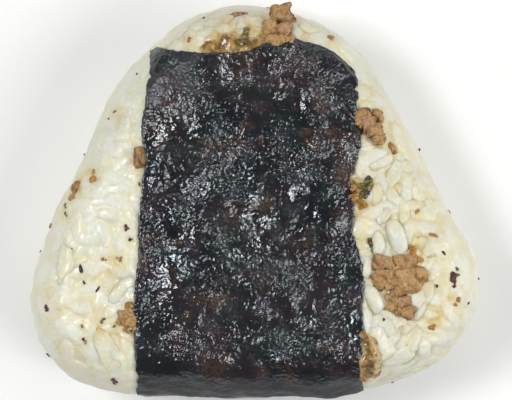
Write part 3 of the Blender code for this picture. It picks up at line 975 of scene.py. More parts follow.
def nori_finish(looks):
    """Moist seaweed: near black with plum, moss and rust tints, and fine fibrous crinkles that glint."""
    made = Finish("moist_nori", IOR=1.7, Specular_Tint=(0.88, 0.95, 1.0, 1.0))
    body = made.mix(made.patches(120.0, 0.5, 0.3, 3.0), looks.ink, looks.plum)
    body = made.mix(made.math("MULTIPLY", made.patches(170.0, 0.54, 0.16, 6.0), 0.8), body, looks.moss)
    thin = made.math("MAXIMUM", made.math("MULTIPLY", made.patches(190.0, 0.62, 0.14, 8.4), 0.5), made.number("thin"))
    thin = made.math("MULTIPLY", thin, made.spread(made.patches(1100.0, 0.5, 0.3, 1.0), 0.0, 1.0, 0.25, 1.0))
    body = made.mix(thin, body, looks.rust)
    place = made.node("ShaderNodeTexCoord")
    fibres = made.node("ShaderNodeTexNoise", noise_type="RIDGED_MULTIFRACTAL")
    fibres.inputs["Scale"].default_value = 620.0
    fibres.inputs["Detail"].default_value = 4.0
    fibres.inputs["Roughness"].default_value = 0.7
    fibres.inputs["Lacunarity"].default_value = 2.2
    fibres.inputs["Distortion"].default_value = 0.6
    made.link(place.outputs["Object"], fibres.inputs["Vector"])
    relief = made.group(grain_group(), Broad_Scale=1500.0, Fine_Scale=2500.0, Fine_Share=0.4).outputs[0]
    lively = made.spread(made.patches(150.0, 0.5, 0.3, 5.0), 0.0, 1.0, 0.6, 1.5)
    folds = made.node("ShaderNodeTexNoise", noise_type="RIDGED_MULTIFRACTAL")
    for label, value in (("Scale", 640.0), ("Detail", 2.0), ("Roughness", 0.6), ("Lacunarity", 2.1), ("Distortion", 0.9)):
        folds.inputs[label].default_value = value
    made.link(place.outputs["Object"], folds.inputs["Vector"])
    normal = made.bump(folds.outputs[0], 1.0, 0.08 * MM)
    normal = made.bump(made.math("MULTIPLY", relief, lively), 1.0, 0.22 * MM, normal)
    normal = made.bump(fibres.outputs[0], 0.8, 0.03 * MM, normal)
    rough = made.spread(made.patches(300.0, 0.5, 0.24, 2.0), 0.0, 1.0, 0.14, 0.27)
    rough = made.math("SUBTRACT", rough, made.math("MULTIPLY", made.number("shine"), 0.08))
    rough = made.math("ADD", rough, made.math("MULTIPLY", made.number("dull"), 0.5), True)
    return made.feed(Base_Color=body, Roughness=rough, Normal=normal)


def mince_finish(looks):
    """Browned mince: golden and pinkish crumbs with random dark specks, and painted shade in the grooves, the pits and
    under the crumbs.
    """
    made = Finish("browned_mince", IOR=1.4, Subsurface_Weight=0.2, Subsurface_Scale=0.5 * MM,
                  Subsurface_Radius=(1.0, 0.5, 0.3), Coat_Roughness=0.25)
    made.shader.subsurface_method = "BURLEY"
    tone, depth = made.number("tone"), made.number("depth")
    body = made.mix(made.spread(tone, 0.3, 0.85), looks.brown, looks.golden)
    body = made.mix(made.spread(tone, 0.0, 0.25, 0.75, 0.0), body, looks.pink)
    body = made.mix(made.math("MULTIPLY", made.patches(900.0, 0.56, 0.16, 4.0), 0.6), body, looks.brown, "MULTIPLY")
    # Painted shade: the dark groove colour where depth is high, in pits, under the core surface and on the crumbs'
    # lower sides.
    body = made.mix(made.math("MULTIPLY", made.spread(depth, 0.1, 0.8), 0.9), body, looks.dark)
    body = made.mix(made.math("MULTIPLY", made.patches(2400.0, 0.57, 0.14, 8.0), 0.4), body, looks.dark)
    relief = made.group(grain_group(), Broad_Scale=1500.0, Fine_Scale=3600.0, Fine_Share=0.5).outputs[0]
    rough = made.spread(made.patches(1200.0, 0.5, 0.3, 2.0), 0.0, 1.0, 0.38, 0.66)
    return made.feed(Base_Color=body, Roughness=rough, Normal=made.bump(relief, 1.0, 0.27 * MM),
                     Coat_Weight=made.spread(made.patches(700.0, 0.56, 0.12, 3.0), 0.0, 1.0, 0.02, 0.3))


def wet_finish(name, shade, deep, roughness, coat):
    """A moist fleck or bead: its colour with darker spots."""
    made = Finish(name, IOR=1.42, Roughness=roughness, Coat_Roughness=0.1, Subsurface_Weight=0.2,
                  Subsurface_Scale=0.5 * MM, Subsurface_Radius=(1.0, 0.6, 0.2))
    body = made.mix(made.patches(900.0, 0.5, 0.3, 6.0), shade, deep)
    relief = made.group(grain_group(), Broad_Scale=1500.0, Fine_Scale=5200.0, Fine_Share=0.3).outputs[0]
    return made.feed(Base_Color=body, Normal=made.bump(relief, 0.4, 0.08 * MM),
                     Coat_Weight=made.spread(made.patches(1300.0, 0.5, 0.3, 1.0), 0.0, 1.0, coat * 0.4, coat))


def floor_finish(looks):
    made = Finish("pale_floor", Roughness=0.6)
    shade = made.mix(made.patches(6.0, 0.5, 0.6, 0.0), looks.floor, tuple(c * 0.985 for c in looks.floor))
    return made.feed(Base_Color=shade)


# ---------------------------------------------------------------- rice

def crispness(places):
    """How distinct the grains are: fused on the left and at the rim, distinct beside the strap's right edge."""
    x, y, z = (places[:, i] / MM for i in range(3))
    face = smooth_step(z, FACE * 0.55, FACE * 0.93)
    beside = smooth_step(x, 14.0, 19.0) * (1.0 - smooth_step(x, 25.0 - 0.25 * y, 32.0 - 0.2 * y))
    beside = beside * (1.0 - smooth_step(y, 6.0, 20.0))
    top = smooth_step(y, 26.0, 29.0) * (1.0 - smooth_step(np.abs(x + 1.0), 7.0, 16.0))
    low = smooth_step(-y, 20.0, 27.0) * smooth_step(x, 16.0, 24.0)
    value = 0.24 + face * np.maximum(np.maximum(0.62 * beside, 0.34 * top), 0.28 * low)
    return np.clip(value + 0.16 * waves(places, 9 * MM, 2.0), 0.1, 1.0)


def coolness(places):
    """How cool and grey the rice is at each place."""
    x, y, z = (places[:, i] / MM for i in range(3))
    total = np.zeros(len(places))
    for across, up, radius, strength in COOL_PLACES:
        apart = ((x - across) ** 2 + (y - up) ** 2) / (radius * radius)
        total = np.maximum(total, strength * np.exp(-1.2 * apart))
    total = total * smooth_step(z, FACE * 0.3, FACE * 0.8)
    return np.clip(total * (1.0 + 0.5 * waves(places, 4.0 * MM, 8.0, 2)), 0.0, 1.0)


def stain_at(places):
    """How much sauce has soaked in at each place."""
    x, y, z = (places[:, i] / MM for i in range(3))
    face = smooth_step(z, FACE * 0.45, FACE * 0.75)
    total = np.zeros(len(places))
    for across, up, radius, strength in STAINS:
        apart = ((x - across) ** 2 + (y - up) ** 2) / (radius * radius)
        total = np.maximum(total, strength * np.exp(-1.2 * apart))
    edge = waves(places, 2.2 * MM, 5.0)
    total = total * (1.0 + 0.5 * edge)
    around = 0.55 * smooth_step(waves(places, 7.5 * MM, 31.0, 3), 0.22, 0.75)
    return np.clip(1.35 * total * face + around * (1.0 - 0.6 * face), 0.0, 1.0)


def swollen(name, mesh, amount):
    """A copy of a mesh with its surface moved out."""
    made = mesh.copy()
    made.name = name
    move_to(made, places_of(made) + normals_of(made) * amount)
    return made


def pressed_skin():
    """The rice ball's outer surface, with the rice meeting the strap's underside and the lumps' sides."""
    rice, strap = welded("rice_shell", "rice_block"), welded("strap_shell", "nori_strap")
    lumps = welded("lump_shell", *LUMPS)
    grown = 0.3 * MM
    skin = fused("pressed_skin", joined("pressed_skin", rice, swollen("strap_grown", strap, grown),
                                        swollen("lumps_grown", lumps, grown)), 0.5 * MM)
    rice_search, strap_search, lump_search = search(rice), search(strap), search(lumps)
    places = places_of(skin)
    gaps = np.array([[tree.find_nearest(p)[3] for tree in (rice_search, strap_search, lump_search)] for p in places])
    over_strap = smooth_step(gaps[:, 0] - gaps[:, 1], -0.1 * MM, 0.3 * MM)
    over_lump = smooth_step(gaps[:, 0] - gaps[:, 2], -0.1 * MM, 0.4 * MM)
    near = 1.0 - smooth_step(np.minimum(gaps[:, 1], gaps[:, 2]), 1.0 * MM, 2.2 * MM)
    sunk = over_strap * (grown + 0.36 * MM)
    sunk = np.maximum(sunk, over_lump * (grown + 0.75 * MM))
    pairs = edges_of(skin)
    places = relaxed(places - normals_of(skin) * sunk[:, None], pairs, 0.5, 4)
    move_to(skin, places)
    return skin, near


def pressed_down(places, surface, limit, softness):
    """Places pressed down to a limit over a surface, with their heights and ways out."""
    height, out = heights(places, surface)
    lower = soft_limit(height, limit, softness)
    return places + out * (lower - height)[:, None], lower, out


def borders(tone, pairs):
    """Which points lie where one grain meets the next."""
    apart = pairs[np.abs(tone[pairs[:, 0]] - tone[pairs[:, 1]]) > 1e-5]
    found = np.zeros(len(tone))
    found[apart.ravel()] = 1.0
    return found


def make_rice(looks):
    skin, covered = pressed_skin()
    surface = search(skin)
    give(skin, "room", np.ones(len(skin.vertices)))
    finish = rice_finish(looks, "moist_rice")
    size = (looks.grain_length, looks.grain_width, looks.grain_thickness)
    limits = {"Sink Spread": 0.22 * MM, "Tilt": math.radians(12.0), "Smallest": 0.82, "Largest": 1.16}
    grains = scattered("rice_grains", skin.copy(), rounded_form("grain", size, 8, 10, bend=0.18, square=2.15), finish,
                       Spacing=looks.spacing, Sink=looks.sink, Seed=looks.seed, **limits)
    grain_tone = np.empty(len(grains.vertices), np.float32)
    grains.attributes["tone"].data.foreach_get("value", grain_tone)
    grain_search = search(grains)
    first = np.array([p.vertices[0] for p in grains.polygons])

    core = skin.copy()
    places = places_of(core)
    move_to(core, places - normals_of(core) * (looks.core_depth * (0.9 + 1.1 * crispness(places)))[:, None])
    whole = fused("rice_whole", joined("rice_whole", grains, core), looks.cell)
    places = places_of(whole)
    pairs = edges_of(whole)
    crisp = crispness(places)
    tones = np.array([grain_tone[first[grain_search.find_nearest(p)[2]]] for p in places])
    places, height, out = pressed_down(places, surface, looks.press, (0.10 + 0.12 * (1.0 - crisp)) * MM)
    meeting = borders(tones, pairs) * smooth_step(waves(places, 3.4 * MM, 51.0, 2), -0.5 + 0.5 * (1.0 - crisp), 0.5)
    meeting = relaxed(np.repeat(meeting[:, None], 3, axis=1), pairs, 0.4, 1)[:, 0]
    face = smooth_step(places[:, 2] / MM, FACE * 0.6, FACE * 0.9)
    places = places - out * (looks.groove * (0.15 + 0.2 * face + 0.95 * crisp) * meeting)[:, None]
    places = relaxed(places, pairs, 0.15 + 0.3 * (1.0 - crisp), 1)
    places = relaxed(places, pairs, 0.65 * (1.0 - face), 6)
    fine = waves(places, 0.9 * MM, 9.0, 2) * 0.03 * MM * face + waves(places, 3.4 * MM, 29.0, 2) * 0.08 * MM
    move_to(whole, places + out * fine[:, None])
    tones = relaxed(np.repeat(tones[:, None], 3, axis=1), pairs, 0.7 * (1.0 - crisp), 3)[:, 0]
    # Depth below the pressed surface and along grain borders: the finish paints shade there in the crease colour and
    # strengthens the stains.
    give(whole, "depth", np.clip((-height / MM - 0.12) / 0.7 + 0.45 * meeting, 0.0, 1.0) * (0.3 + 0.7 * face))
    give(whole, "tone", tones)
    whole = thinned("rice_whole", whole, 192000)
    places = places_of(whole)
    flat = smooth_step(normals_of(whole)[:, 2], 0.5, 0.9)
    places = relaxed(places, edges_of(whole), 0.6 * (1.0 - flat), 8)
    move_to(whole, places)
    give(whole, "crisp", crispness(places))
    give(whole, "stain", stain_at(places))
    give(whole, "coolness", coolness(places))
    rise = normals_of(whole)[:, 2]
    give(whole, "level", 1.0 - smooth_step(rise, -0.2, 0.0) * (1.0 - smooth_step(rise, 0.35, 0.8)))
    made = piece("rice", whole, finish, "rice", "rice_block")
    lay_separate_grains(looks, skin, covered, surface, size)
    return made


def lay_separate_grains(looks, skin, covered, surface, size):
    """Separate grains, each closed, pressed into the fused rice where its grains are distinct."""
    finish = rice_finish(looks, "separate_grains")
    crisp = crispness(places_of(skin))
    places = places_of(skin)
    room = smooth_step(crisp, 0.40, 0.75) * (1.0 - covered)
    for across, up, *_ in PRESSED_GRAINS + LOOSE_GRAINS:
        apart = np.hypot(places[:, 0] / MM - across, places[:, 1] / MM - up)
        room = room * np.where(places[:, 2] > 0.6 * FACE * MM, smooth_step(apart, 1.2, 2.6), 1.0)
    give(skin, "room", room)
    limits = {"Sink Spread": 0.3 * MM, "Tilt": math.radians(16.0), "Smallest": 0.8, "Largest": 1.2}
    grains = scattered("separate_grains", skin, rounded_form("grain", size, 10, 12, bend=0.2, square=2.1, uneven=0.1),
                       finish, Spacing=looks.apart_spacing, Sink=1.08 * MM, Seed=looks.seed + 3, **limits)
    tones = np.empty(len(grains.vertices), np.float32)
    grains.attributes["tone"].data.foreach_get("value", tones)
    own = [set_named_grain(surface, *values, number) for number, values in enumerate(PRESSED_GRAINS)]
    tones = np.concatenate([tones] + [np.full(len(g.vertices), 0.8 + 0.2 * math.sin(3.0 * n))
                                      for n, g in enumerate(own)])
    grains = joined("separate_grains", grains, *own)
    places = places_of(grains)
    face = smooth_step(places[:, 2] / MM, FACE * 0.6, FACE * 0.9)
    crisp = crispness(places)
    places, height, out = pressed_down(places, surface, (0.02 + 0.10 * face * crisp) * MM, 0.2 * MM)
    fine = waves(places, 1.1 * MM, 9.0, 2) * 0.03 * MM
    move_to(grains, places + out * fine[:, None])
    # Depth under the pressed surface: the finish paints shade there in the crease colour and strengthens the stains.
    give(grains, "depth", np.clip((-height / MM + 0.25) / 0.8, 0.0, 1.0))
    give(grains, "tone", tones)
    give(grains, "crisp", crisp)
    give(grains, "stain", stain_at(places) * 0.8)
    give(grains, "coolness", coolness(places))
    give(grains, "level", np.ones(len(places)))
    return piece("separate_grains", grains, finish, "rice")


def set_named_grain(surface, across, up, long, wide, turn, lift, number):
    """One grain at its own place on the face."""
    form = rounded_form("grain", (long * MM, wide * MM, min(wide, 2.8) * 0.8 * MM), 16, 18, bend=0.2,
                        square=2.2, uneven=0.18, seed=number * 1.7)
    spot, normal = on_face(surface, across, up)
    out = (Vector(normal) * 0.6 + Vector((0.12 * math.sin(number * 2.0), 0.12 * math.cos(number * 3.0), 1.0)))
    return set_at(form, Vector(spot) + Vector((0, 0, (lift - 0.78) * MM)), out, math.radians(turn))


def make_loose_grains(looks):
    """Distinct grains on top of the fused rice, each closed."""
    rice = bpy.data.objects["rice"]
    surface = search(rice.data)
    meshes, tones = [], []
    for number, values in enumerate(LOOSE_GRAINS):
        meshes.append(set_named_grain(surface, *values, number + 40))
        tones += [0.72 + 0.1 * math.sin(number * 2.1)] * len(meshes[-1].vertices)
    made = joined("loose_grains", *meshes)
    give(made, "tone", tones)
    places = places_of(made)
    height, _ = heights(places, surface)
    # Depth under the rice surface, capped low: the finish paints shade there in the crease colour.
    give(made, "depth", np.clip(-height / MM / 0.9, 0.0, 0.4))
    give(made, "crisp", np.ones(len(places)))
    give(made, "stain", stain_at(places) * 0.5)
    give(made, "coolness", np.full(len(places), 0.25))
    give(made, "level", np.ones(len(places)))
    return piece("loose_grains", made, rice.data.materials[0], "rice")


# ---------------------------------------------------------------- nori

def strap_reference(across):
    """Rows of places down the face, round the base edge and up the back, for each line across."""
    trees = [search(welded("rice_shell", "rice_block"))]

    def hit(start, way):
        best = None
        for tree in trees:
            spot, _, _, gap = tree.ray_cast(start, way)
            if spot is not None and (best is None or gap < best[1]):
                best = (spot, gap)
        return best[0] if best else None

    middle = FACE * 0.5 * MM
    lines = []
    for x in across:
        base = hit(Vector((x, -60 * MM, middle)), Vector((0, 1, 0)))
        turn = base.y + 12 * MM
        line = []
        for y in np.arange((STRAP_TOP_LINE + 1.5) * MM, turn, -0.5 * MM):
            line.append(hit(Vector((x, y, 60 * MM)), Vector((0, 0, -1))))
        for step in range(1, 96):
            angle = math.pi * (0.5 + step / 96)
            way = Vector((0, math.cos(angle), math.sin(angle)))
            line.append(hit(Vector((x, turn, middle)) + way * 60 * MM, -way))
        for y in np.arange(turn, (STRAP_TOP_LINE + 1.5) * MM, 0.5 * MM):
            line.append(hit(Vector((x, y, -30 * MM)), Vector((0, 0, 1))))
        line = np.array([tuple(p) for p in line if p is not None])
        for _ in range(3):
            line[1:-1] = 0.25 * line[:-2] + 0.5 * line[1:-1] + 0.25 * line[2:]
        lines.append(line)
    return lines


def even_steps(line, step, count):
    """Places at even steps down a line: by height up the face, then by distance round the base edge."""
    along = np.concatenate(([0.0], np.cumsum(np.linalg.norm(np.diff(line, axis=0), axis=1))))
    mark = STRAP_TOP_LINE * MM - line[:, 1]
    low = int(np.argmax(line[:, 1] < -20 * MM))
    mark[low:] = mark[low] + along[low:] - along[low]
    wanted = step * np.arange(count)
    places = np.stack([np.interp(wanted, mark, line[:, i]) for i in range(3)], axis=1)
    beyond = np.maximum(mark[0] - wanted, 0.0)
    places[:, 1] += beyond
    places[:, 2] -= 1.2 * beyond
    return places


def raised(grid, reach):
    """For each number of a grid, the highest one near it."""
    tall, wide = grid.shape
    for _ in range(reach):
        padded = np.pad(grid, 1, mode="edge")
        grid = np.max([padded[i:i + tall, j:j + wide] for i in range(3) for j in range(3)], axis=0)
    return grid


def blurred(grid, rounds):
    """A grid of numbers smoothed along both of its ways."""
    for _ in range(rounds):
        padded = np.pad(grid, ((1, 1), (0, 0)), mode="edge")
        grid = 0.25 * padded[:-2] + 0.5 * padded[1:-1] + 0.25 * padded[2:]
        padded = np.pad(grid, ((0, 0), (1, 1)), mode="edge")
        grid = 0.25 * padded[:, :-2] + 0.5 * padded[:, 1:-1] + 0.25 * padded[:, 2:]
    return grid


def grid_normals(grid):
    """The way out at each place of a grid of rows down and columns across."""
    down = np.gradient(grid, axis=0)
    side = np.gradient(grid, axis=1)
    normal = np.cross(side, -down)
    return normal / np.linalg.norm(normal, axis=2, keepdims=True)


def make_nori(looks):
    rice_surface = search(joined("all_rice", *(bpy.data.objects[n].data.copy() for n in ("rice", "separate_grains"))))
    across = np.arange(-24.0, 23.5, 1.0) * MM
    step = 0.5 * MM
    rows = 330
    reference = np.stack([even_steps(line, step, rows) for line in strap_reference(across)], axis=1)
    for axis in (1, 2):
        reference[:, :, axis] = blurred(reference[:, :, axis], 5)
    shoulder = smooth_step(reference[:, :, 1], 8 * MM, 16 * MM) * (np.arange(rows)[:, None] < 60)
    held = 21.5 * MM + 0.3 * np.maximum(reference[:, :, 2] - 21.5 * MM, -6 * MM)
    reference[:, :, 2] += shoulder * np.maximum(held - reference[:, :, 2], 0.0)
    fold = 60.0
    bottom = reference[:, :, 2] < 4 * MM
    ends = np.array([np.argmax((reference[:, c, 1] > (STRAP_HIGH.y - 4.2 * MM)) & bottom[:, c]) * step / MM
                     for c in range(len(across))])
    reached = ends > 0.0
    ends = np.interp(across, across[reached], ends[reached])
    moving = np.linalg.norm(np.diff(reference, axis=0), axis=2) > 0.05 * MM
    last = np.array([np.nonzero(moving[:, c])[0].max() for c in range(len(across))]) * step / MM - 1.5
    ends = np.minimum(ends, last)

    columns = int(round(39.0 * MM / looks.cell)) + 1
    start = np.interp(np.linspace(-18.0, 17.6, columns), *zip(*STRAP_TOP))
    start = STRAP_TOP_LINE - start
    start = start + 0.9 * np.exp(-((np.linspace(0.0, 39.0, columns) / 0.9) ** 2))
    start = start + 0.22 * np.array([noise.fractal(Vector((c * looks.cell / MM / 1.2, 5.0, 0.0)), 0.8, 2.0, 3)
                                     for c in range(columns)])
    share_down = np.concatenate((np.arange(0.0, fold, looks.cell / MM), np.arange(fold, 92.0, looks.cell * 1.7 / MM),
                                 np.arange(92.0, 151.0, looks.cell * 2.8 / MM)))
    share_down = share_down / share_down[-1]
    u = np.linspace(0.0, 1.0, columns)
    end = np.interp(-20.0 + 39.0 * u, across / MM, ends)
    end = end + 0.5 * np.sin(u * 19.0 + 1.0) + 0.3 * np.sin(u * 47.0)
    down = start[None, :] + (end - start)[None, :] * share_down[:, None]
    left = np.interp(down, *zip(*STRAP_LEFT))
    right = np.interp(down, *zip(*STRAP_RIGHT))
    ragged_left = np.array([noise.fractal(Vector((d / 1.6, 3.0, 0.0)), 0.6, 2.0, 3) for d in down[:, 0]])
    ragged_right = np.array([noise.fractal(Vector((d / 1.0, 9.0, 0.0)), 0.8, 2.0, 3) for d in down[:, -1]])
    left = left + 0.34 * ragged_left[:, None]
    right = right + 0.46 * ragged_right[:, None]
    x = left + (right - left) * u[None, :]
    col = np.clip((x * MM - across[0]) / (across[1] - across[0]), 0, len(across) - 1.001)
    row = np.clip(down * MM / step, 0, rows - 1.001)
    c0, r0 = col.astype(int), row.astype(int)
    cf, rf = (col - c0)[..., None], (row - r0)[..., None]
    places = ((reference[r0, c0] * (1 - cf) + reference[r0, c0 + 1] * cf) * (1 - rf)
              + (reference[r0 + 1, c0] * (1 - cf) + reference[r0 + 1, c0 + 1] * cf) * rf)
    normal = grid_normals(places)

    shape = places.shape[:2]
    flat, ways = places.reshape(-1, 3), normal.reshape(-1, 3)
    under = np.full(len(flat), -0.5 * MM)
    for i in range(len(flat)):
        way = Vector(ways[i])
        spot, _, _, gap = rice_surface.ray_cast(Vector(flat[i]) + way * 1.5 * MM, -way, 5 * MM)
        if spot is not None:
            under[i] = 1.5 * MM - gap
    under = under.reshape(shape)
    close = blurred(raised(under, 2), 3)
    broad = blurred(under, 30)
    resting = np.maximum(looks.drape * close + (1.0 - looks.drape) * broad, broad - 0.3 * MM)
    inset = np.minimum(np.minimum(x - left, right - x), (down - start[None, :]))
    inner = smooth_step(inset, 0.0, 1.6)
    resting = close + (resting - close) * inner
    size = looks.crinkle_size
    warp = np.stack([waves(flat, 4.0 * MM, o, 1) for o in (3.0, 13.0, 23.0)], axis=1) * 0.7 * MM
    bent = flat * np.array((0.8, 1.15, 1.0)) + warp
    crinkle = 1.0 - 2.0 * np.abs(waves(bent, size, 1.0, 1))
    finer = 1.0 - 2.0 * np.abs(waves(bent, size * 0.45, 41.0, 1))
    folds = waves(flat * np.array((0.8, 1.2, 1.0)), 3.8 * MM, 7.0, 2)
    calm = 0.5 + 0.5 * smooth_step(waves(flat, 9.0 * MM, 17.0, 1), -0.45, 0.35)
    relief = ((0.75 * crinkle + 0.35 * finer) * calm * looks.crinkle_height + folds * 0.27 * MM).reshape(shape)
    relief = relief * (0.4 + 0.6 * inner)
    lean, shine = lean_at(flat)
    relief = relief + lean.reshape(shape) * inner
    lift = np.maximum(resting + (0.06 + 0.22 * inner) * MM + relief, close + 0.05 * MM) + looks.thickness
    places = places + normal * lift[..., None]
    places[..., 2] = np.maximum(places[..., 2], 0.02 * MM)

    tall, wide = shape
    faces = []
    for r in range(tall - 1):
        for c in range(wide - 1):
            a = r * wide + c
            faces.append((a, a + wide, a + wide + 1, a + 1))
    mesh = mesh_of("nori", places.reshape(-1, 3), faces)
    give(mesh, "thin", thin_at(places.reshape(-1, 3)))
    give(mesh, "shine", shine)
    steep = (1.0 - smooth_step(ways[:, 2], 0.45, 0.9)) * smooth_step(ways[:, 2], -0.05, 0.2)
    steep = steep * smooth_step(-flat[:, 1], 18 * MM, 24 * MM)
    corner = 1.0 - smooth_step(np.hypot(flat[:, 0] / MM + 16.0, flat[:, 1] / MM - 25.0), 3.0, 11.0)
    give(mesh, "dull", np.maximum(steep, 0.3 * corner))
    made = piece("nori", mesh, nori_finish(looks), "nori", "nori_strap")
    wall = made.modifiers.new("Sheet", "SOLIDIFY")
    wall.thickness = looks.thickness
    wall.offset = -1.0
    wall.use_even_offset = False
    return made


def lean_at(places):
    """How far the sheet is lifted where it leans, and how much it shines."""
    x, y, z = (places[:, i] / MM for i in range(3))
    face = smooth_step(z, 18.0, 26.0)
    lean, shine = np.zeros(len(places)), np.zeros(len(places))
    for across, up, radius, amount in SHINING_PLACES:
        side, ahead = (x - across) / radius, (y - up) / radius
        near = np.exp(-side * side - ahead * ahead) * face
        lean += 0.16 * radius * MM * near * amount * (0.9 * side - 0.4 * ahead * np.sign(amount))
        shine = np.maximum(shine, near * abs(amount))
    return lean, np.clip(shine, 0.0, 1.0)


def thin_at(places):
    """Where the sheet is thin and brown: along its edges and at a few named places."""
    x, y, z = (places[:, i] / MM for i in range(3))
    face = smooth_step(z, 20.0, 26.0)
    total = np.zeros(len(places))
    for across, up, radius, strength in (
            (-6.6, -28.6, 3.2, 0.55), (-3.4, -2.4, 2.2, 0.7), (1.9, -0.8, 2.0, 0.55), (9.0, -7.0, 2.0, 0.5),
            (16.4, 8.6, 2.6, 0.8), (16.2, 4.6, 2.2, 0.9), (-17.6, 12.5, 2.2, 0.5), (-15.0, 16.4, 2.6, 0.4),
            (-8.6, 9.0, 2.4, 0.4), (-2.0, 24.6, 4.0, 0.5), (-18.6, -6.5, 1.8, 0.45), (15.8, -2.6, 2.0, 0.6),
            (6.6, 24.6, 3.0, 0.3), (-16.4, 21.6, 1.8, 0.4), (12.4, 18.8, 2.2, 0.3)):
        apart = ((x - across) ** 2 + (y - up) ** 2) / (radius * radius)
        total = np.maximum(total, strength * np.exp(-1.3 * apart))
    return np.clip(total * face * (1.0 + 0.6 * waves(places, 1.6 * MM, 3.0)), 0.0, 1.0)


# ---------------------------------------------------------------- mince

def crumbled(name, core, blocks, looks, seed, finish, rice):
    """Separate rough crumbs over a smaller core; the large ones have places of their own."""
    surface = search(core)
    inner = core.copy()
    move_to(inner, places_of(inner) - normals_of(inner) * 1.1 * MM)
    give(core, "room", np.ones(len(core.vertices)))
    crumb = rounded_form("crumb", (looks.crumb * 1.3, looks.crumb, looks.crumb * 0.9), 8, 10, square=2.8, uneven=0.5,
                         seed=seed)
    crumbs = scattered(name + "_crumbs", core.copy(), crumb, finish, Spacing=1.2 * looks.spacing, Sink=1.15 * MM,
                       **{"Sink Spread": 0.3 * MM, "Tilt": math.radians(60.0), "Smallest": 0.55, "Largest": 1.2,
                          "Seed": looks.seed + seed})
    tones = np.empty(len(crumbs.vertices), np.float32)
    crumbs.attributes["tone"].data.foreach_get("value", tones)
    parts, tones = [inner, crumbs], [np.full(len(inner.vertices), 0.1), tones]
    sides = [np.zeros(len(part.vertices)) for part in parts]
    for number, (across, up, wide, long, turn, lift) in enumerate(blocks):
        wide, long = wide * 1.12, long * 1.12
        deep = min(wide, long) * 0.8
        form = rounded_form("block", (wide * MM, long * MM, deep * MM), 26, 34, square=3.2, uneven=0.4,
                            seed=number * 3.1 + seed)
        places = places_of(form)
        rough = 0.28 * waves(places, 1.3 * MM, number * 5.0 + seed, 3) - 0.22 * np.abs(
            waves(places * np.array((1.0, 0.5, 1.0)), 0.55 * MM, number * 7.0 + seed + 2.0, 2))
        move_to(form, places + normals_of(form) * (rough * MM)[:, None])
        spot, _ = on_face(rice, across, up)
        above, _, _, _ = surface.ray_cast(Vector((across, up, 60.0)) * MM, Vector((0, 0, -1)))
        level = max(spot.z / MM + 0.55, (above.z / MM - 0.1) if above else 20.0)
        place = Vector((across, up, level + 0.8 * lift - 0.42 * deep)) * MM
        tilt = (0.16 * math.sin(number * 2.3 + seed), 0.16 * math.cos(number * 1.7), 1.0)
        parts.append(set_at(form, place, tilt, math.radians(turn)))
        tones.append(np.full(len(form.vertices), (0.37 * number + 0.13 * seed) % 1.0))
        # The lower sides of each large crumb are marked deep, for painted shade in the dark groove colour.
        low = places_of(parts[-1])[:, 2]
        sides.append(smooth_step((low.max() - low) / (deep * MM), 0.35, 0.7))
    whole = joined(name, *parts)
    places = places_of(whole)
    pits = waves(places, 0.55 * MM, seed * 2.0, 3)
    height, _ = heights(places, surface)
    move_to(whole, places + normals_of(whole) * (0.07 * MM * pits)[:, None])
    # Depth marks painted shade: the dark groove colour in the pits, under the core surface and on the crumbs' lower
    # sides.
    low = np.maximum(smooth_step(-height, 0.5 * MM, 1.3 * MM), np.concatenate(sides))
    give(whole, "depth", np.clip(0.7 * np.maximum(-pits - 0.12, 0.0) + low, 0.0, 1.0))
    give(whole, "tone", np.concatenate(tones))
    return whole


def make_mince(looks):
    finish = mince_finish(looks)
    rice = search(bpy.data.objects["rice"].data)
    for number, node in enumerate(LUMPS):
        core = welded(node + "_core", node)
        mesh = crumbled(node, core, LARGE_CRUMBS[node], looks, number + 1, finish, rice)
        piece(node + "_crumbs", mesh, finish, "mince", node)


def make_small_bits(looks):
    """Small bits of mince pressed into the rice, each closed."""
    finish = bpy.data.objects[LUMPS[0] + "_crumbs"].data.materials[0]
    surface = search(bpy.data.objects["rice"].data)
    meshes, tones = [], []
    for number, (across, up, wide, long, turn, lift) in enumerate(SMALL_BITS):
        form = rounded_form("bit", (wide * MM, long * MM, min(wide, long) * 0.8 * MM), 16, 18, square=3.0,
                            uneven=0.3, seed=number * 2.3)
        spot, normal = on_face(surface, across, up)
        out = (Vector(normal) * 0.4 + Vector((0, 0, 1.0))).normalized()
        meshes.append(set_at(form, Vector(spot) + out * (lift - 0.25) * MM, out, math.radians(turn)))
        tones += [(0.2 + 0.29 * number) % 1.0] * len(form.vertices)
    made = joined("mince_bits", *meshes)
    places = places_of(made)
    pits = waves(places, 0.7 * MM, 4.0, 3)
    move_to(made, places + normals_of(made) * (0.09 * MM * pits)[:, None])
    give(made, "tone", tones)
    # Depth marks painted shade in the pits of each bit, in the dark groove colour.
    give(made, "depth", np.clip(0.25 - 0.9 * pits, 0.0, 0.8))
    return piece("mince_bits", made, finish, "mince")


# ---------------------------------------------------------------- seasoning

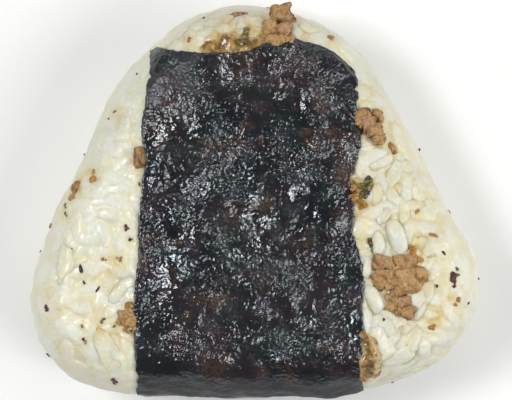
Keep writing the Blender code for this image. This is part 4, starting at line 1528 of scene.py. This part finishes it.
def flat_flecks(name, spots, thick, surface, rings=6, sides=8, square=2.4, uneven=0.5, sunk=0.35, bits=1):
    """Flecks lying on the rice, each of one bit or of a few small ones close together."""
    meshes = []
    for number, (across, up, wide, long, turn) in enumerate(spots):
        for bit in range(bits):
            chance = np.random.default_rng(number * 10 + bit).uniform(-0.5, 0.5, 4)
            small = 0.95 + 0.7 * chance[0]
            size = [(0.35 * wide + 0.25 * long) * small, (0.2 * wide + 0.5 * long) * small]
            size = [v * MM for v in ((wide, long) if bits == 1 else size)]
            size.append(min(thick * MM, 0.8 * min(size)))
            form = rounded_form(name, size, rings, sides, square=square, uneven=uneven, seed=number * 1.9 + bit * 4.3)
            angle = math.radians(turn)
            side, ahead = chance[1] * (0.1 + 0.7 * wide), chance[2] * (0.05 + 0.8 * long)
            if bits == 1:
                side = ahead = 0.0
            x = across + side * math.cos(angle) - ahead * math.sin(angle)
            y = up + side * math.sin(angle) + ahead * math.cos(angle)
            spot, normal = on_face(surface, x, y)
            meshes.append(set_at(form, Vector(spot) + Vector(normal) * (0.5 - sunk) * size[2], normal,
                                 angle + 2.0 * chance[3] * (bits > 1)))
    return joined(name, *meshes)


def make_flecks(looks):
    surface = search(bpy.data.objects["rice"].data)
    rice = welded("fleck_skin", "rice_block")
    places = places_of(rice)
    ways = normals_of(rice)
    room = np.where((ways[:, 2] < 0.55), 1.0, 0.0) * np.where(places[:, 2] < 22 * MM, 1.0, 0.0)
    kinds = (
        ("red_flecks", RED_FLECKS, looks.red, (0.05, 0.010, 0.014), 0.9, 1.0),
        ("black_flecks", BLACK_FLECKS, looks.black, (0.010, 0.008, 0.007), 0.5, 1.25),
        ("amber_flecks", AMBER_FLECKS, looks.amber, (0.30, 0.12, 0.015), 1.0, 0.9),
        ("olive_flecks", OLIVE_FLECKS, looks.olive, (0.08, 0.085, 0.03), 0.8, 1.1),
    )
    for number, (name, spots, shade, deep, size, apart) in enumerate(kinds):
        finish = wet_finish(name + "_finish", shade, deep, 0.4, 0.3)
        face = flat_flecks(name, spots, 0.35, surface, bits={"red_flecks": 5, "amber_flecks": 3, "olive_flecks": 2}.get(name, 1))
        skin = welded(name + "_skin", "rice_block")
        give(skin, "room", room)
        form = rounded_form(name + "_form", (0.75 * size * MM, 1.1 * size * MM, 0.4 * MM), 5, 7, square=2.4,
                            uneven=0.5, seed=number + 2.0)
        points = len(form.vertices)
        around = scattered(name + "_around", skin, form, finish, Spacing=looks.fleck_spacing * apart, Sink=0.03 * MM,
                           **{"Sink Spread": 0.03 * MM, "Tilt": math.radians(8.0), "Smallest": 0.5, "Largest": 1.2,
                              "Seed": looks.seed + 5 * number})
        around = clear_of_strap(around, points)
        piece(name, joined(name, face, around), finish, "mince")


def clear_of_strap(mesh, points):
    """Without the scattered pieces that would lie under the strap; each piece has so many points."""
    places = places_of(mesh).reshape(-1, points, 3) / MM
    middle = places.mean(axis=1)
    under = (np.abs(middle[:, 0] + 0.5) < 22.0) & (middle[:, 1] < 26.0)
    flank = (middle[:, 2] > 9.0) & (middle[:, 2] < 20.0) & (middle[:, 1] > -20.0)
    gone = np.repeat(under & ~flank, points)
    made = bmesh.new()
    made.from_mesh(mesh)
    made.verts.ensure_lookup_table()
    bmesh.ops.delete(made, geom=[made.verts[i] for i in np.nonzero(gone)[0]], context="VERTS")
    made.to_mesh(mesh)
    made.free()
    return mesh


def make_sauce(looks):
    """Glossy films of onion sauce with beads of jelly in them."""
    surface = search(bpy.data.objects["rice"].data)
    amber = wet_finish("amber_jelly", (0.42, 0.235, 0.05), (0.20, 0.09, 0.018), 0.2, 0.8)
    olive = wet_finish("olive_jelly", (0.20, 0.165, 0.035), (0.05, 0.032, 0.012), 0.2, 0.8)
    for name, spots, finish in (("amber_beads", AMBER_BEADS, amber), ("olive_beads", OLIVE_BEADS, olive)):
        mesh = flat_flecks(name, spots, 0.9, surface, 12, 16, 2.1, 0.7, 0.3)
        piece(name, mesh, finish, "mince")
    beside = ("rice", "mince_lower_left_crumbs", "mince_base_right_crumbs")
    glazed = search(joined("glazed", *(bpy.data.objects[n].data for n in beside)))
    films, covers = zip(*(film(glazed, spots, number) for number, spots in enumerate(SAUCE_FILMS)))
    sheet = joined("onion_sauce", *films)
    give(sheet, "cover", np.concatenate(covers))
    made = piece("onion_sauce", sheet, sauce_finish(looks), "mince")
    body = made.modifiers.new("Body", "SOLIDIFY")
    body.thickness = 0.7 * MM
    body.offset = -1.0


def film(surface, spots, number):
    """The upper face of a film of sauce: level inside its spots, running down under the rice at its rim."""
    cell = 0.22
    low = [min(s[i] - 1.6 * s[2] for s in spots) for i in (0, 1)]
    high = [max(s[i] + 1.6 * s[2] for s in spots) for i in (0, 1)]
    wide, tall = (int((high[i] - low[i]) / cell) + 1 for i in (0, 1))
    x, y = np.meshgrid(low[0] + cell * np.arange(wide), low[1] + cell * np.arange(tall))
    cover = np.zeros(x.shape)
    for across, up, radius in spots:
        cover += np.exp(-1.4 * ((x - across) ** 2 + (y - up) ** 2) / (radius * radius))
    flat = np.stack([x.ravel(), y.ravel(), np.zeros(x.size)], axis=1) * MM
    cover = np.clip(cover * (1.0 + 0.6 * waves(flat, 1.3 * MM, number * 4.0, 3).reshape(x.shape)), 0.0, 1.3)
    under = np.array([on_face(surface, a, b)[0].z for a, b in zip(x.ravel(), y.ravel())]).reshape(x.shape)
    level = blurred(raised(under, 1), 5)
    ripple = 0.05 * MM * waves(flat, 0.8 * MM, 6.0, 2).reshape(x.shape)
    top = level + (np.minimum(cover, 0.9) - 0.55) * 0.75 * MM + ripple
    kept = cover > 0.18
    points = np.stack([x * MM, y * MM, top], axis=2).reshape(-1, 3)
    faces = []
    for r in range(tall - 1):
        for c in range(wide - 1):
            if kept[r:r + 2, c:c + 2].all():
                a = r * wide + c
                faces.append((a, a + 1, a + 1 + wide, a + wide))
    used = sorted({i for f in faces for i in f})
    place = {old: new for new, old in enumerate(used)}
    return mesh_of("film", points[used], [tuple(place[i] for i in f) for f in faces]), cover.ravel()[used]


def sauce_finish(looks):
    """Onion sauce: golden where it is thin, dark brown where it is thick."""
    made = Finish("onion_sauce", IOR=1.42, Roughness=0.22, Coat_Roughness=0.08, Subsurface_Weight=0.3,
                  Subsurface_Scale=0.6 * MM, Subsurface_Radius=(1.0, 0.6, 0.2))
    made.shader.subsurface_method = "BURLEY"
    thick = made.spread(made.number("cover"), 0.45, 1.15)
    body = made.mix(thick, looks.sauce_thin, looks.sauce)
    dark = made.math("MULTIPLY", made.patches(620.0, 0.46, 0.2, 6.0), made.spread(thick, 0.0, 1.0, 0.2, 1.0))
    body = made.mix(dark, body, looks.sauce_dark)
    relief = made.group(grain_group(), Broad_Scale=1200.0, Fine_Scale=2600.0, Fine_Share=0.4).outputs[0]
    return made.feed(Base_Color=body, Normal=made.bump(relief, 0.8, 0.16 * MM),
                     Coat_Weight=made.spread(made.patches(1100.0, 0.5, 0.3, 1.0), 0.0, 1.0, 0.1, 0.7))


# ---------------------------------------------------------------- stage

def soft_box(name, place, size, power, tint=(1.0, 1.0, 1.0)):
    light = bpy.data.lights.new(name, "AREA")
    light.shape = "SQUARE"
    light.size = size
    light.energy = power
    light.color = tint
    one = bpy.data.objects.new(name, light)
    one.location = place
    one.rotation_mode = "QUATERNION"
    one.rotation_quaternion = (MIDDLE - Vector(place)).to_track_quat("-Z", "Y")
    bpy.context.scene.collection.objects.link(one)
    return one


def make_stage(looks):
    half = 1.2
    floor = shown("floor", mesh_of("floor", ((-half, -half, 0), (half, -half, 0), (half, half, 0), (-half, half, 0)),
                                   ((0, 1, 2, 3),)))
    floor.data.materials.append(floor_finish(looks))
    soft_box("key_light", (-0.27, 0.07, 0.54), 0.17, looks.key_power)
    soft_box("fill_light", (0.29, -0.18, 0.52), 0.20, looks.fill_power)
    for name, place, part in (("left_wall", (-0.55, -0.10, 0.34), 1.0), ("top_wall", (0.10, 0.58, 0.36), 1.0),
                              ("right_wall", (0.58, -0.04, 0.34), 2.1)):
        soft_box(name, place, 0.45, looks.wall_power * part)
    world = bpy.data.worlds.new("studio_air")
    world.use_nodes = True
    back = world.node_tree.nodes["Background"]
    back.inputs["Color"].default_value = (1.0, 1.0, 1.0, 1.0)
    back.inputs["Strength"].default_value = looks.air
    bpy.context.scene.world = world
    lens = bpy.data.cameras.new("camera")
    lens.lens = looks.lens
    lens.sensor_width = 36.0
    lens.clip_start = 0.01
    lens.clip_end = 10.0
    camera = bpy.data.objects.new("camera", lens)
    camera.location = (0.32 * MM, 0.15 * MM, looks.camera_height)
    bpy.context.scene.collection.objects.link(camera)
    bpy.context.scene.camera = camera
    bpy.context.scene.view_settings.view_transform = "Standard"


# ---------------------------------------------------------------- operators and panel

class ONIGIRI_OT_rice(bpy.types.Operator):
    """Build the fused rice from grains on a smaller core"""
    bl_idname = "onigiri.rice"
    bl_label = "Rice"

    def execute(self, context):
        make_rice(context.scene.onigiri_rice)
        return {"FINISHED"}


class ONIGIRI_OT_loose_grains(bpy.types.Operator):
    """Lay distinct grains on the fused rice"""
    bl_idname = "onigiri.loose_grains"
    bl_label = "Loose Grains"

    def execute(self, context):
        make_loose_grains(context.scene.onigiri_rice)
        return {"FINISHED"}


class ONIGIRI_OT_nori(bpy.types.Operator):
    """Drape the moist nori strap over the rice"""
    bl_idname = "onigiri.nori"
    bl_label = "Nori Strap"

    def execute(self, context):
        make_nori(context.scene.onigiri_nori)
        return {"FINISHED"}


class ONIGIRI_OT_mince(bpy.types.Operator):
    """Crumble the lumps of browned mince"""
    bl_idname = "onigiri.mince"
    bl_label = "Mince"

    def execute(self, context):
        make_mince(context.scene.onigiri_mince)
        make_small_bits(context.scene.onigiri_mince)
        return {"FINISHED"}


class ONIGIRI_OT_flecks(bpy.types.Operator):
    """Put the flecks of seasoning on the rice"""
    bl_idname = "onigiri.flecks"
    bl_label = "Flecks"

    def execute(self, context):
        make_flecks(context.scene.onigiri_seasoning)
        return {"FINISHED"}


class ONIGIRI_OT_sauce(bpy.types.Operator):
    """Put the glossy beads and the onion sauce beside the strap"""
    bl_idname = "onigiri.sauce"
    bl_label = "Beads and Shreds"

    def execute(self, context):
        make_sauce(context.scene.onigiri_seasoning)
        return {"FINISHED"}


class ONIGIRI_OT_stage(bpy.types.Operator):
    """Set the floor, the lights and the camera"""
    bl_idname = "onigiri.stage"
    bl_label = "Stage"

    def execute(self, context):
        make_stage(context.scene.onigiri_stage)
        return {"FINISHED"}


OPERATORS = (ONIGIRI_OT_rice, ONIGIRI_OT_loose_grains, ONIGIRI_OT_nori, ONIGIRI_OT_mince, ONIGIRI_OT_flecks,
             ONIGIRI_OT_sauce, ONIGIRI_OT_stage)
SETTINGS = (("onigiri_rice", RiceSettings), ("onigiri_nori", NoriSettings), ("onigiri_mince", MinceSettings),
            ("onigiri_seasoning", SeasoningSettings), ("onigiri_stage", StageSettings))


class ONIGIRI_PT_panel(bpy.types.Panel):
    """Sizes, colours and steps of the rice ball"""
    bl_idname = "ONIGIRI_PT_panel"
    bl_label = "Onigiri"
    bl_space_type = "VIEW_3D"
    bl_region_type = "UI"
    bl_category = "Onigiri"

    def draw(self, context):
        for step in OPERATORS:
            self.layout.operator(step.bl_idname, text=step.bl_label)
        for name, group in SETTINGS:
            box = self.layout.box()
            box.label(text=group.__doc__)
            for label in group.__annotations__:
                box.prop(getattr(context.scene, name), label)


def register():
    for name, group in SETTINGS:
        bpy.utils.register_class(group)
        setattr(bpy.types.Scene, name, PointerProperty(type=group))
    for step in (*OPERATORS, ONIGIRI_PT_panel):
        bpy.utils.register_class(step)


def unregister():
    for step in reversed((*OPERATORS, ONIGIRI_PT_panel)):
        bpy.utils.unregister_class(step)
    for name, group in reversed(SETTINGS):
        delattr(bpy.types.Scene, name)
        bpy.utils.unregister_class(group)


def main():
    register()
    bpy.ops.onigiri.rice()
    bpy.ops.onigiri.loose_grains()
    bpy.ops.onigiri.nori()
    bpy.ops.onigiri.mince()
    bpy.ops.onigiri.flecks()
    bpy.ops.onigiri.sauce()
    bpy.ops.onigiri.stage()


if __name__ == "__main__":
    main()
